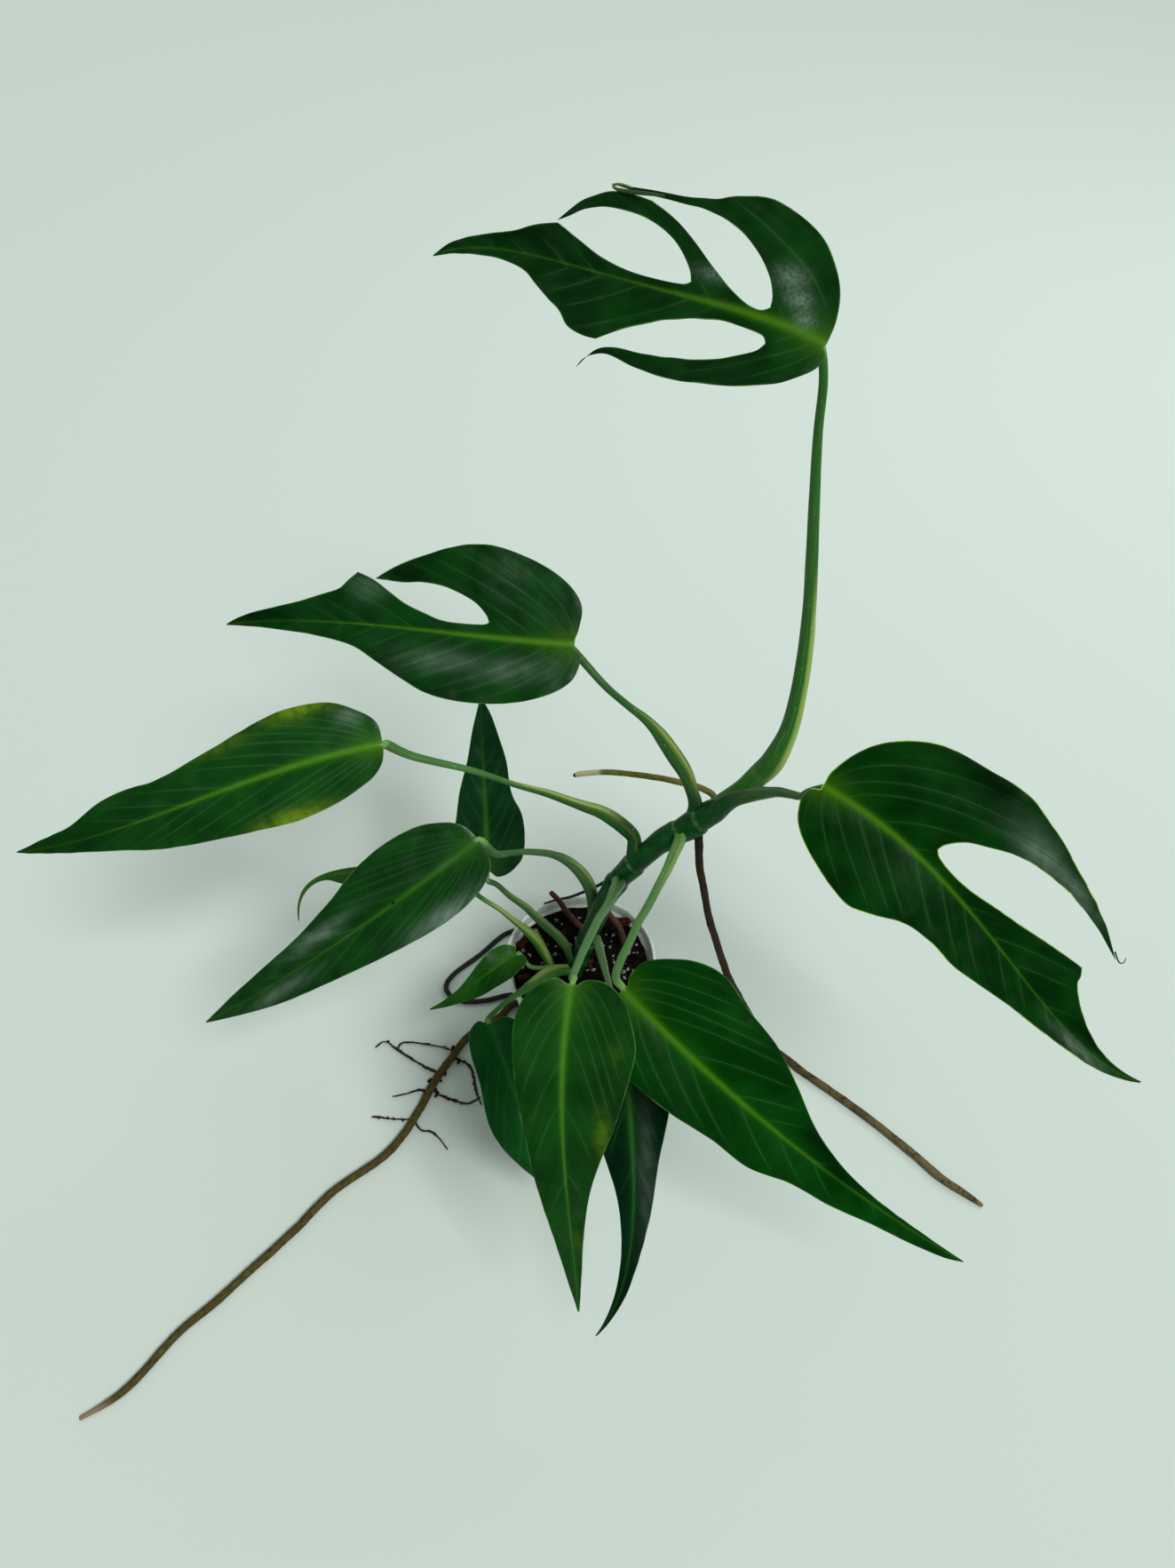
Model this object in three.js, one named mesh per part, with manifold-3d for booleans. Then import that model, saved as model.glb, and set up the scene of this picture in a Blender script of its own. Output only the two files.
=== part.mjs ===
// A potted split-leaf aroid: nursery pot, soil, leaning stem, twelve leaves and its roots.
// Millimetres, +Z up. The origin is the centre of the pot's underside, on the surface it stands on.
import * as THREE from 'three';
import { mergeVertices } from 'three/addons/utils/BufferGeometryUtils.js';
import Module from 'manifold-3d';

const wasm = await Module();
wasm.setup();

// Clearance between pieces that touch on the real plant.
const GAP = 0.3;

// Nursery pot: a thin moulded wall, a flared rim band, and drainage slots where the wall meets the floor.
const POT_SIDES = 40;
const POT = { footRadius: 42.5, shoulderRadius: 48.5, rimRadius: 52.5, height: 92, bandDepth: 12, wall: 1.2, floor: 2 };
const SLOT = { count: 6, firstAngle: 160, width: 22, height: 9, depth: 14 };

// Potting mix, level below the rim, with perlite grains and bark chips standing out of it.
const SOIL = { top: 84, roughness: 1.3, rings: 5 };
const PERLITE = { count: 30, radius: [1.3, 2.3] };
const BARK = { count: 9, size: [8, 4.5, 2.6] };

// Leaf blades.
const BLADE_THICKNESS = 0.8;
const MIDRIB_RIDGE = 0.9;
const KEEL = 0.18;
const CURL = -0.005;
const KNEE = 9;

// The stem's centre line and radius, foot to top: x, y, z, radius. Its rings mark the leaf nodes, by height.
const STEM = [
  [-5, -7, 34, 5.6], [-5, -7, 80, 5.9], [-3, -6, 92, 5.8], [2, -5, 111, 5.8], [6, -4, 130, 5.9],
  [11, -3, 145, 5.9], [15, -2, 161, 5.9], [20, -1, 174, 6], [25, 0, 186, 6], [31, 1, 195, 5.8],
  [37, 2, 204, 5.8], [44, 3, 213, 5.7], [50, 4, 220, 5.8], [58, 5, 226, 6], [66, 6, 232, 6.2],
  [73, 7, 238, 6.3], [79, 8, 244, 6.2],
];
const STEM_STEPS = 56;
const NODES = [100, 118, 183, 199, 226, 236];
const NODE_SWELL = 0.9;
const NODE_WIDTH = 2.4;

// Each half of a blade is a list of lobes, from the junction to the tip. A lobe has its margin as
// points [along the midrib, out from it]. Between two lobes lies a slot: end is its inner end, and near and
// far are its two edges from there out, up to the lobes' ends.
const entire = (margin) => ({ lobes: [margin], slots: [] });

const LEAVES = {
  a: {
    midrib: [[113, 64, 513], [63, 97, 524], [16, 113, 507], [-30, 169, 521], [-77, 184, 496]],
    face: [[-0.23, -0.61, 0.76], [-0.49, -0.73, 0.48]],
    wave: 1.2,
    left: {
      lobes: [
        [[0, 2.5], [-3, 6], [-2, 13], [4, 21], [14, 28], [28, 33], [46, 36.5], [66, 39], [84, 38], [100, 35.5],
          [109, 37.5], [114, 41], [116, 45]],
        [[110, 30], [119, 30], [128, 28], [136, 22], [145, 18], [155, 13], [165, 8], [180, 5], [204, 3], [227, 0.4]],
      ],
      slots: [{
        end: [27, 9],
        near: [[29, 14], [36, 20], [47, 25], [62, 28.5], [80, 31], [97, 31.5], [108, 35]],
        far: [[31, 8], [40, 6.5], [52, 7.2], [66, 10], [80, 14.5], [95, 21.5]],
      }],
    },
    right: {
      lobes: [
        [[0, 2.5], [1, 10], [5, 21], [12, 31], [21, 40], [32, 46], [46, 49.5], [58, 48], [73, 43.5], [88, 42],
          [106, 41], [127, 39]],
        [[104, 36.5], [114, 37], [125, 36], [136, 31.5], [145, 25], [151.5, 18]],
        [[151, 17], [164, 14], [176, 9.5], [190, 7], [204, 5.2], [216, 3.4], [227, 0.4]],
      ],
      slots: [
        {
          end: [31, 5],
          near: [[32, 10], [37, 18], [46, 26.5], [58, 33.5], [74, 37.8], [92, 38.8], [110, 38.6]],
          far: [[35, 2.8], [42, 3.6], [52, 8], [64, 15.5], [78, 25], [91, 32]],
        },
        {
          end: [72, 6.5],
          near: [[74, 11], [80, 17.5], [90, 24], [104, 28.4], [120, 29.3], [134, 27], [144, 22]],
          far: [[76, 4.6], [88, 4], [103, 4.2], [118, 6.2], [130, 9.5], [141, 13.5]],
        },
      ],
    },
  },
  b: {
    midrib: [[-2, 42, 349], [-72, 42, 354], [-140, 67, 351], [-205, 79, 330]],
    face: [[0.05, -0.63, 0.78], [-0.35, -0.65, 0.67]],
    wave: 1.4,
    left: entire([[0, 2.5], [-3, 6], [-3, 12], [1, 21], [11, 28.5], [26, 34], [46, 37], [64, 37], [80, 34],
      [96, 27], [110, 20], [126, 12.5], [150, 8], [178, 4.5], [209, 0.4]]),
    right: {
      lobes: [
        [[0, 2.5], [-2, 9], [-3, 20], [2, 29], [13, 38], [30, 45.5], [50, 49.5], [68, 48], [86, 42], [101, 34.5],
          [114, 25.6]],
        [[124, 28.4], [130, 23.5], [136, 18.5], [147, 15], [160, 11], [178, 7.5], [195, 4.5], [209, 0.4]],
      ],
      slots: [{
        end: [48, 8],
        near: [[50, 12], [56, 17.5], [65, 21.8], [76, 25], [88, 26], [99, 24.8]],
        far: [[51, 6.6], [62, 6], [74, 6.4], [85, 9.5], [96, 13.6], [106, 19.5], [115, 25]],
      }],
    },
  },
  c: {
    midrib: [[-111, 14, 298], [-187, -5, 299], [-256, -28, 262], [-330, -19, 240]],
    face: [[0.14, -0.53, 0.84], [-0.3, -0.48, 0.82]],
    wave: 1.6,
    left: entire([[0, 3], [3, 12], [12, 20], [30, 27], [56, 31], [84, 29], [111, 25], [138, 20], [166, 12],
      [200, 5], [231, 0.4]]),
    right: entire([[0, 3], [1, 12], [8, 20], [25, 30], [48, 32], [74, 28], [102, 23], [129, 19], [150, 20],
      [170, 18], [190, 10], [214, 5], [231, 0.4]]),
  },
  d: {
    midrib: [[126, -43, 330], [180, -72, 315], [219, -103, 282], [251, -143, 226], [305, -145, 201]],
    face: [[-0.18, -0.71, 0.68], [0.29, -0.67, 0.69]],
    wave: 1.4,
    left: {
      lobes: [
        [[0, 2.5], [0, 8], [4, 20], [11, 32], [22, 43], [36, 51], [54, 55.5], [75, 60.5], [95, 59], [118, 57],
          [140, 54], [160, 48.5], [176, 43.6]],
        [[164, 27.4], [168, 24], [170, 20.5], [178, 16], [190, 11], [207, 6], [224, 3], [248, 0.4]],
      ],
      slots: [{
        end: [65, 9.5],
        near: [[66, 14], [72, 22], [81, 28.5], [93, 36], [108, 41.5], [126, 45.6], [145, 46.4], [160, 45.2]],
        far: [[69, 7], [80, 6], [92, 7.4], [106, 11], [122, 15.5], [142, 21.8]],
      }],
    },
    right: entire([[0, 2.5], [-5, 5], [-6, 12], [-2, 22], [7, 30], [22, 37], [38, 41.5], [52, 42.5], [66, 37],
      [82, 29], [98, 26], [116, 25], [134, 20.5], [152, 15.5], [172, 11.5], [192, 8], [215, 5], [248, 0.4]]),
  },
  e: {
    midrib: [[-58, -20, 253], [-114, -57, 230], [-171, -75, 189], [-229, -81, 149]],
    face: [[0.03, -0.56, 0.83], [-0.39, -0.64, 0.67]],
    wave: 1.2,
    left: entire([[0, 3], [1, 12], [6, 19], [19, 25], [40, 27], [65, 25], [93, 21], [120, 17], [150, 13],
      [180, 7], [211, 0.4]]),
    right: entire([[0, 3], [2, 12], [9, 20], [24, 28], [45, 31], [70, 29], [96, 22], [124, 16], [152, 12],
      [182, 7], [211, 0.4]]),
  },
  f: {
    midrib: [[-59, 7, 184], [-62, 55, 181], [-68, 104, 185], [-71, 151, 196]],
    face: [[0.05, 0.07, 1], [0.06, -0.21, 0.98]],
    wave: 0.8,
    left: entire([[0, 2], [-3, 6], [-1, 14], [8, 21], [24, 23], [42, 20], [66, 17], [92, 11], [118, 6.5],
      [145, 0.4]]),
    right: entire([[0, 2], [-5, 7], [-2, 15], [7, 22], [24, 25], [44, 24], [64, 18], [90, 16], [110, 12],
      [130, 7], [145, 0.4]]),
  },
  g: {
    midrib: [[-73, 16, 150], [-107, 29, 160], [-130, 21, 152], [-193, 40, 168], [-188, 2, 135]],
    face: [[0.04, -0.55, 0.84], [0.25, -0.61, 0.75]],
    wave: 0.5,
    left: entire([[0, 2], [-2, 6], [1, 12], [12, 17], [30, 17], [50, 13], [70, 10], [88, 7], [100, 2.4],
      [118, 1.2], [137, 0.4]]),
    right: entire([[0, 2], [-2, 6], [1, 12], [12, 17], [30, 16], [50, 10], [66, 6], [80, 3.6], [100, 2],
      [118, 1.2], [137, 0.4]]),
  },
  h: {
    midrib: [[-42, -17, 124], [-62, -29, 123], [-79, -43, 110], [-100, -45, 100]],
    face: [[0.13, -0.31, 0.94], [-0.35, -0.43, 0.83]],
    wave: 0.6,
    left: entire([[0, 1.5], [-4, 3], [-3, 8], [5, 11], [18, 12], [34, 10], [48, 6], [60, 2.5], [70, 0.4]]),
    right: entire([[0, 1.5], [-1, 5], [5, 10], [14, 11], [24, 9], [34, 6], [46, 3], [58, 1.8], [70, 0.4]]),
  },
  i: {
    midrib: [[-3, -123, 267], [-15, -175, 223], [-3, -206, 161], [0, -234, 100]],
    face: [[-0.1, -0.63, 0.77], [-0.02, -0.91, 0.42]],
    wave: 1,
    left: entire([[0, 2.5], [-4, 8], [-4, 18], [2, 27], [16, 34], [32, 37], [55, 33], [77, 27], [98, 19],
      [120, 12], [147, 7], [175, 3.5], [204, 0.4]]),
    right: entire([[0, 2.5], [-2, 9], [4, 18], [14, 25], [30, 27], [55, 24], [85, 19.5], [115, 15], [150, 9],
      [180, 4.5], [204, 0.4]]),
  },
  j: {
    midrib: [[24, -116, 250], [84, -169, 215], [151, -195, 162], [218, -211, 110]],
    face: [[-0.05, -0.59, 0.81], [0.35, -0.67, 0.66]],
    wave: 1.4,
    left: entire([[0, 3], [-3, 8], [-3, 18], [5, 29], [18, 39], [34, 43], [55, 39], [80, 35], [104, 26],
      [128, 15], [150, 8.5], [170, 5], [195, 3], [230, 1.6], [259, 0.4]]),
    right: entire([[0, 3], [-3, 10], [2, 22], [14, 29], [34, 31], [60, 29], [86, 25], [111, 24], [135, 17],
      [162, 14], [190, 9.5], [220, 6.5], [245, 3.5], [259, 0.4]]),
  },
  k: {
    midrib: [[25, -100, 200], [27, -150, 169], [45, -211, 104], [10, -237, 60]],
    face: [[-0.03, -0.53, 0.84], [-0.41, -0.6, 0.69]],
    wave: 1.2,
    left: entire([[0, 3], [-3, 9], [1, 18], [14, 25], [36, 26], [60, 22], [86, 15], [112, 11], [141, 6.5],
      [170, 3.5], [201, 0.4]]),
    right: entire([[0, 3], [-3, 9], [1, 18], [14, 24], [36, 26], [62, 22], [85, 16], [107, 10], [133, 6],
      [160, 3.5], [201, 0.4]]),
  },
  l: {
    midrib: [[-57, -71, 129], [-41, -102, 110], [-32, -130, 80], [-16, -150, 50]],
    face: [[0.09, -0.49, 0.87], [0.28, -0.72, 0.63]],
    wave: 0.8,
    left: entire([[0, 2], [-1, 8], [3, 15], [14, 20], [32, 22], [55, 22], [75, 19], [92, 13], [107, 6.5],
      [120, 0.4]]),
    right: entire([[0, 2], [-4, 5], [-3, 10], [2, 15], [14, 18], [32, 19], [58, 22], [75, 19], [90, 13],
      [105, 6], [120, 0.4]]),
  },
};

// Petioles, from the stem or the soil out to just short of their blade: x, y, z, radius.
// groove is the direction that the open side of the sheath faces, and sheath is how far along it runs.
const PETIOLES = {
  a: {
    path: [[82, 11, 247, 4.2], [92, 14, 254, 4.8], [98, 14, 261, 5.4], [105, 15, 270, 6.4], [113, 17, 282, 6.6],
      [120, 23, 301, 5.3], [123, 30, 323, 4.7], [124, 36, 344, 4.4], [124, 44, 370, 4], [122, 51, 399, 3.5],
      [119, 58, 434, 2.8], [116, 62, 468, 2.2], [114.5, 63, 495, 2]],
    groove: [1, -0.2, 0],
    sheath: 0.5,
  },
  b: {
    path: [[68, 9, 234, 3.6], [70, 13, 243, 3.6], [67, 16, 255, 3.8], [63, 19, 266, 4.2], [57, 21, 277, 4.6],
      [49, 24, 290, 4.1], [44, 25, 298, 3.3], [37, 27, 306, 2.5], [27, 28, 316, 2], [14, 31, 329, 1.8],
      [3, 35, 341, 1.8]],
    groove: [0.8, 0, 0.6],
    sheath: 0.6,
  },
  c: {
    path: [[34, 3, 203, 3.8], [34, 6, 211, 3.9], [33, 9, 218, 4.1], [28, 11, 224, 4.4], [20, 13, 231, 4.3],
      [12, 14, 237, 3.8], [3, 13, 243, 3.2], [-6, 13, 248, 2.7], [-20, 13, 256, 2.3], [-38, 12, 265, 1.8],
      [-63, 12, 278, 1.7], [-94, 11, 291, 1.8]],
    groove: [0.5, 0, 0.9],
    sheath: 0.45,
  },
  d: {
    path: [[80, 4, 244, 5.2], [86, 3, 252, 5.7], [91, 2, 260, 5], [97, -2, 269, 4.3], [104, -8, 281, 3.6],
      [110, -16, 292, 3], [115, -25, 301, 2.5], [119, -33, 309, 2.2], [121.5, -37, 318, 2]],
    groove: [-0.3, 0.6, 0.7],
    sheath: 0.5,
  },
  e: {
    path: [[4, -1, 106, 3.6], [7, 2, 118, 4.1], [8, 3.5, 131, 4.1], [9, 4.5, 145, 4.1], [8, 5.5, 159, 4],
      [5, 6, 173, 4], [-1, 5.5, 188, 3.6], [-8, 4, 200, 3], [-17, 1, 211, 2.4], [-29, -5, 224, 2.1],
      [-41, -12, 234, 2], [-52, -18.5, 246, 1.9]],
    groove: [0.7, 0, 0.7],
    sheath: 0.6,
  },
  f: {
    path: [[-4.5, -7.5, 88, 2.9], [-6, -7, 101, 3], [-9, -5, 112, 3], [-14, -4, 123, 3], [-21, -3, 134, 3],
      [-29, -2, 146, 2.8], [-36, -1, 157, 2.5], [-45, 0, 167, 2.2], [-53, 2, 177, 2]],
    groove: [0.6, 0, 0.8],
    sheath: 0.5,
  },
  g: {
    path: [[-20, -5, 72, 2.9], [-21, -3, 82, 3.1], [-23, -1, 91, 3.1], [-27, 2, 101, 3.4], [-31, 4, 110, 3.6],
      [-38, 6, 119, 2.7], [-46, 8, 128, 2], [-54, 10, 137, 1.8], [-65, 13, 145, 1.8]],
    groove: [0.6, 0, 0.8],
    sheath: 0.55,
  },
  h: {
    path: [[-5, -8, 91, 1.5], [-13, -8.5, 94, 1.5], [-21, -12.5, 100, 1.5], [-28, -18, 108, 1.5],
      [-34, -20.5, 115, 1.4]],
    groove: [0.3, 0, 0.9],
    sheath: 0,
  },
  i: {
    path: [[25, -1, 187, 3.6], [24, -9, 193, 4.1], [21, -21, 201, 3.5], [17, -37, 211, 2.8], [12, -52, 221, 2.5],
      [8, -68, 232, 2.4], [2, -93, 248, 2.2], [-1, -108, 258, 2], [-3, -117, 264, 1.9]],
    groove: [0, -0.6, 0.8],
    sheath: 0.25,
  },
  j: {
    path: [[62, 6, 229, 3.2], [60, -5, 232, 3.6], [56, -17, 235, 3.2], [51, -31, 238, 2.8], [45, -45, 241, 2.5],
      [39, -59, 243, 2.4], [33, -72, 246, 2.3], [28, -85, 247, 2.3], [23, -97, 248, 2.3], [20, -107, 247, 2.3]],
    groove: [-0.3, -0.4, 0.9],
    sheath: 0.4,
  },
  k: {
    path: [[6, -4, 121, 2.4], [11, -13, 136, 2.9], [13, -30, 149, 2.7], [15, -49, 164, 2.3], [17, -65, 176, 2],
      [19, -82, 189, 1.8], [23, -94, 197, 1.8]],
    groove: [0.9, 0, 0.4],
    sheath: 0.55,
  },
  l: {
    path: [[-3, -8, 88, 3.4], [-13, -14, 98, 3.7], [-22, -23, 107, 4.4], [-30, -33, 114, 3.6], [-38, -43, 120, 2.5],
      [-45, -51, 125, 1.7], [-52, -60, 128, 1.6]],
    groove: [-0.2, 0, 1],
    sheath: 0.55,
  },
};

// Aerial and soil roots: x, y, z, radius. Those that reach the surface lie along it.
const ROOTS = {
  long_left: [[-30, 10, 8, 2.6], [-38, 12.5, 7.2, 2.8], [-44, 14, 5.6, 3], [-53, 12, 3.6, 3.2], [-63, 1, 3.4, 3.3], [-84, -14, 3.4, 3.3],
    [-95, -31, 3.4, 3.3], [-106, -50, 3.4, 3.4], [-115, -71, 3.4, 3.3], [-124, -89, 3.4, 3.3],
    [-138, -107, 3.4, 3.2], [-169, -131, 3.3, 3.2], [-191, -157, 3.3, 3.2], [-216, -183, 3.2, 3.1],
    [-235, -203, 3.2, 3.1], [-254, -221, 3.1, 3], [-279, -253, 2.8, 2.7], [-303, -269, 1.8, 1.4]],
  rim_left: [[25, 4, 188, 1.8], [18, 10, 171, 1.6], [11, 15, 157, 1.5], [1, 25, 135, 1.5], [-8, 36, 113.5, 1.3],
    [-18, 44.5, 97.5, 1.1], [-26.5, 44, 93.4, 0.9]],
  floor_loop: [[-6, 36, 6, 2], [-10, 43, 4, 2.4], [-24, 66, 2.7, 2.6], [-42, 80, 2.7, 2.6], [-60, 77, 2.7, 2.6],
    [-80, 57, 2.7, 2.6], [-98, 41, 2.7, 2.6], [-104, 30, 2.7, 2.6], [-100, 21, 2.7, 2.6], [-89, 16, 2.7, 2.6],
    [-72, 17, 2.8, 2.7], [-56, 21, 3.6, 2.6], [-41, 20.4, 5.6, 2.1], [-30, 17, 7, 2]],
  long_right: [[72, 5, 235, 2.9], [73, 1, 221, 2.6], [75, 0, 200, 2.5], [79, -2, 179, 2.4], [82, -4, 162, 2.4],
    [86, -6, 144, 2.5], [91, -8, 126, 2.5], [97, -11, 105, 2.6], [104, -14, 84, 2.6], [122, -20, 43, 2.7],
    [138, -26, 13, 2.7], [151, -32, 3.6, 2.7], [163, -43, 2.8, 2.7], [178, -55, 2.8, 2.7], [206, -79, 2.8, 2.7],
    [233, -105, 2.8, 2.7], [248, -121, 2.8, 2.7], [264, -133, 2.3, 2.1], [273, -140, 1.5, 1.3]],
  back_left: [[79, 11, 241, 1.7], [82, 19, 241.5, 1.5], [80, 25, 241, 1.5], [72, 31, 240, 1.4], [62, 36, 238, 1.4],
    [49, 43, 234, 1.4], [27, 52, 228, 1.4], [13, 57, 223, 1.4], [1, 60, 218, 1.3], [-4, 61, 215, 1]],
  stub_back: [[9, 22, 76, 2], [3, 25, 88, 2], [-2, 27, 93, 2.1], [-9, 31, 101, 2], [-15, 35, 110, 1.9],
    [-21, 37.5, 117.5, 1.8]],
  stub_right: [[13, 0, 150, 2], [17, 9, 138, 2], [22, 12, 123, 2.1], [27, 13, 110, 2.1], [30, 14, 93, 2.2],
    [32, 14, 76, 2]],
};

// Fine rootlets of the long left root, each from a point on it: x, y, z, radius.
const ROOTLETS = [
  [[-92, -27, 3, 1], [-103, -22, 1.8, 0.9], [-117, -19, 1.4, 0.9], [-132, -18, 1.2, 0.8], [-136, -23, 1, 0.7]],
  [[-103, -44, 3, 1.1], [-116, -37, 1.8, 1], [-127, -30, 1.5, 0.9], [-137, -23, 1.3, 0.9], [-146, -17, 1.2, 0.8],
    [-153, -22, 1, 0.7]],
  [[-110, -57, 3, 1], [-118, -56, 1.8, 0.9], [-127, -59, 1.3, 0.8], [-136, -61, 1, 0.7]],
  [[-119, -79, 3, 1], [-134, -78, 1.6, 0.9], [-149, -76, 1, 0.7]],
  [[-95, -31, 3, 1.1], [-84, -35, 1.8, 1], [-79, -42, 1.5, 1], [-76, -56, 1.3, 0.9], [-71, -67, 1, 0.7]],
  [[-108, -53, 3, 1], [-103, -59, 1.8, 1], [-91, -64, 1.4, 1], [-81, -66, 1.1, 0.8]],
  [[-119, -78, 3, 1], [-113, -86, 1.6, 0.9], [-104, -88, 1.3, 0.9], [-93, -100, 1, 0.7]],
];

const FINISH = {
  pot: { color: 0xc3cdc2, roughness: 0.4 },
  soil: { color: 0x1b1512, roughness: 0.95 },
  stem: { color: 0x14502a, roughness: 0.45 },
  blade: { color: 0x0e4a1c, roughness: 0.35 },
  petiole: { color: 0x4c8038, roughness: 0.45 },
  root: { color: 0x5a4a30, roughness: 0.85 },
  rootDark: { color: 0x33291f, roughness: 0.85 },
};

const vector = (list) => new THREE.Vector3(list[0], list[1], list[2]);

// A smooth curve through a list of points of any dimension, by its parameter 0 to 1.
function splineAt(points, t) {
  const last = points.length - 1;
  const i = Math.min(Math.floor(t * last), last - 1);
  const f = t * last - i;
  const at = (k) => points[Math.max(0, Math.min(last, k))];
  const [a, b, c, d] = [at(i - 1), at(i), at(i + 1), at(i + 2)];
  return b.map((_, n) => b[n] + 0.5 * f * (c[n] - a[n]
    + f * (2 * a[n] - 5 * b[n] + 4 * c[n] - d[n] + f * (3 * (b[n] - c[n]) + d[n] - a[n]))));
}

// Points at even distances along the spline, measured over its first `axes` coordinates.
function evenPoints(points, count, axes) {
  const fine = 12 * points.length;
  const samples = Array.from({ length: fine + 1 }, (_, k) => splineAt(points, k / fine));
  const run = [0];
  for (let k = 1; k <= fine; k += 1) {
    const step = Math.hypot(...samples[k].slice(0, axes).map((value, n) => value - samples[k - 1][n]));
    run.push(run[k - 1] + step);
  }
  return Array.from({ length: count + 1 }, (_, n) => {
    const want = run[fine] * (n / count);
    const k = Math.min(fine, Math.max(1, run.findIndex((value) => value >= want)));
    const part = (want - run[k - 1]) / (run[k] - run[k - 1]);
    return samples[k].map((value, axis) => samples[k - 1][axis] + part * (value - samples[k - 1][axis]));
  });
}

function bezierAt(controls, t) {
  let level = controls.map(vector);
  while (level.length > 1) {
    level = level.slice(1).map((point, n) => level[n].clone().lerp(point, t));
  }
  return level[0];
}

// A closed solid from points and faces, turned so that its faces point outwards.
function solidFrom(points, faces) {
  const volume = faces.reduce((sum, [a, b, c]) => (
    sum + points[a].dot(new THREE.Vector3().crossVectors(points[b], points[c]))), 0);
  const outward = volume < 0 ? faces.map(([a, b, c]) => [a, c, b]) : faces;
  return new wasm.Manifold(new wasm.Mesh({
    numProp: 3,
    vertProperties: new Float32Array(points.flatMap((point) => point.toArray())),
    triVerts: new Uint32Array(outward.flat()),
  }));
}

function solidOf(geometry) {
  geometry.deleteAttribute('normal');
  geometry.deleteAttribute('uv');
  const merged = mergeVertices(geometry, 1e-4);
  const place = merged.getAttribute('position');
  const points = Array.from({ length: place.count }, (_, n) => new THREE.Vector3().fromBufferAttribute(place, n));
  const index = Array.from(merged.getIndex().array);
  const faces = Array.from({ length: index.length / 3 }, (_, n) => index.slice(3 * n, 3 * n + 3));
  return solidFrom(points, faces.filter(([a, b, c]) => a !== b && b !== c && c !== a));
}

function geometryOf(solid) {
  const mesh = solid.getMesh();
  const geometry = new THREE.BufferGeometry();
  geometry.setAttribute('position', new THREE.BufferAttribute(mesh.vertProperties, 3));
  geometry.setIndex(new THREE.BufferAttribute(mesh.triVerts, 1));
  geometry.computeVertexNormals();
  return geometry;
}

const cut = (solid, tools) => tools.reduce((left, tool) => left.subtract(tool), solid);

// A limb is a closed cylinder bent along its path. Its section may swell on the open side, as a sheath does.
function limb(path, { sides = 8, step = 12, grow = 0, groove = [0, 0, 1], sheath = 0 } = {}) {
  const length = path.slice(1).reduce((sum, point, n) => (
    sum + Math.hypot(point[0] - path[n][0], point[1] - path[n][1], point[2] - path[n][2])), 0);
  const steps = Math.max(3, Math.round(length / step));
  const rows = evenPoints(path, steps, 3);
  const geometry = new THREE.CylinderGeometry(1, 1, 1, sides, steps);
  const place = geometry.getAttribute('position');
  const frames = rows.map((row, n) => {
    const ahead = vector(rows[Math.min(n + 1, steps)]).sub(vector(rows[Math.max(n - 1, 0)])).normalize();
    const open = vector(groove).addScaledVector(ahead, -vector(groove).dot(ahead)).normalize();
    const across = new THREE.Vector3().crossVectors(open, ahead);
    const atEnd = n === 0 ? -grow : 0;
    const centre = vector(row).addScaledVector(ahead, n === steps ? grow : atEnd);
    return { centre, open, across, radius: row[3] + grow };
  });
  for (let n = 0; n < place.count; n += 1) {
    const along = Math.round((place.getY(n) + 0.5) * steps);
    const { centre, open, across, radius } = frames[along];
    const [x, z] = [place.getX(n), place.getZ(n)];
    const fade = sheath > 0 ? Math.max(0, Math.min(1, (sheath - along / steps) * 8)) : 0;
    const wing = 1 + 0.28 * fade * Math.max(0, x) * Math.abs(z) * 2;
    const point = centre.clone().addScaledVector(open, x * radius * wing).addScaledVector(across, z * radius * wing);
    place.setXYZ(n, point.x, point.y, point.z);
  }
  return solidOf(geometry);
}

// The blade's surface. The midrib is a curve in space, and the two halves rise from it and level off.
class Blade {
  constructor(leaf) {
    this.leaf = leaf;
    this.samples = Array.from({ length: 201 }, (_, n) => bezierAt(leaf.midrib, n / 200));
    this.run = [0];
    this.samples.slice(1).forEach((point, n) => this.run.push(this.run[n] + point.distanceTo(this.samples[n])));
    this.length = this.run[200];
  }

  frame(u) {
    const within = Math.max(0, Math.min(this.length, u));
    const n = Math.min(200, Math.max(1, this.run.findIndex((value) => value >= within)));
    const t = (n - 1 + (within - this.run[n - 1]) / (this.run[n] - this.run[n - 1])) / 200;
    const ahead = bezierAt(this.leaf.midrib, Math.min(1, t + 0.002))
      .sub(bezierAt(this.leaf.midrib, Math.max(0, t - 0.002))).normalize();
    const centre = bezierAt(this.leaf.midrib, t).addScaledVector(ahead, u - within);
    const up = vector(this.leaf.face[0]).lerp(vector(this.leaf.face[1]), within / this.length);
    up.addScaledVector(ahead, -up.dot(ahead)).normalize();
    return { centre, ahead, up, across: new THREE.Vector3().crossVectors(up, ahead) };
  }

  // The point u along the midrib, v to its left (to its right if negative), and w out of the face.
  point(u, v, w) {
    const { centre, up, across } = this.frame(u);
    const out = Math.abs(v);
    const lean = KEEL + 0.5 * CURL * out;
    const tilt = out > 0 ? KEEL + CURL * out : 0;
    const side = Math.sign(v);
    return centre.addScaledVector(across, side * (out * Math.cos(lean) - w * Math.sin(tilt)))
      .addScaledVector(up, out * Math.sin(lean) + w * Math.cos(tilt));
  }
}

// Point spacings in a blade's sheet.
const STEPS = { margin: 9, slot: 9, midrib: 13, inner: 15 };

function stepped(points, step) {
  const samples = evenPoints(points, 40, 2);
  const length = samples.slice(1).reduce((sum, [u, v], n) => sum + Math.hypot(u - samples[n][0], v - samples[n][1]), 0);
  return evenPoints(points, Math.max(2, Math.round(length / step)), 2);
}

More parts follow.
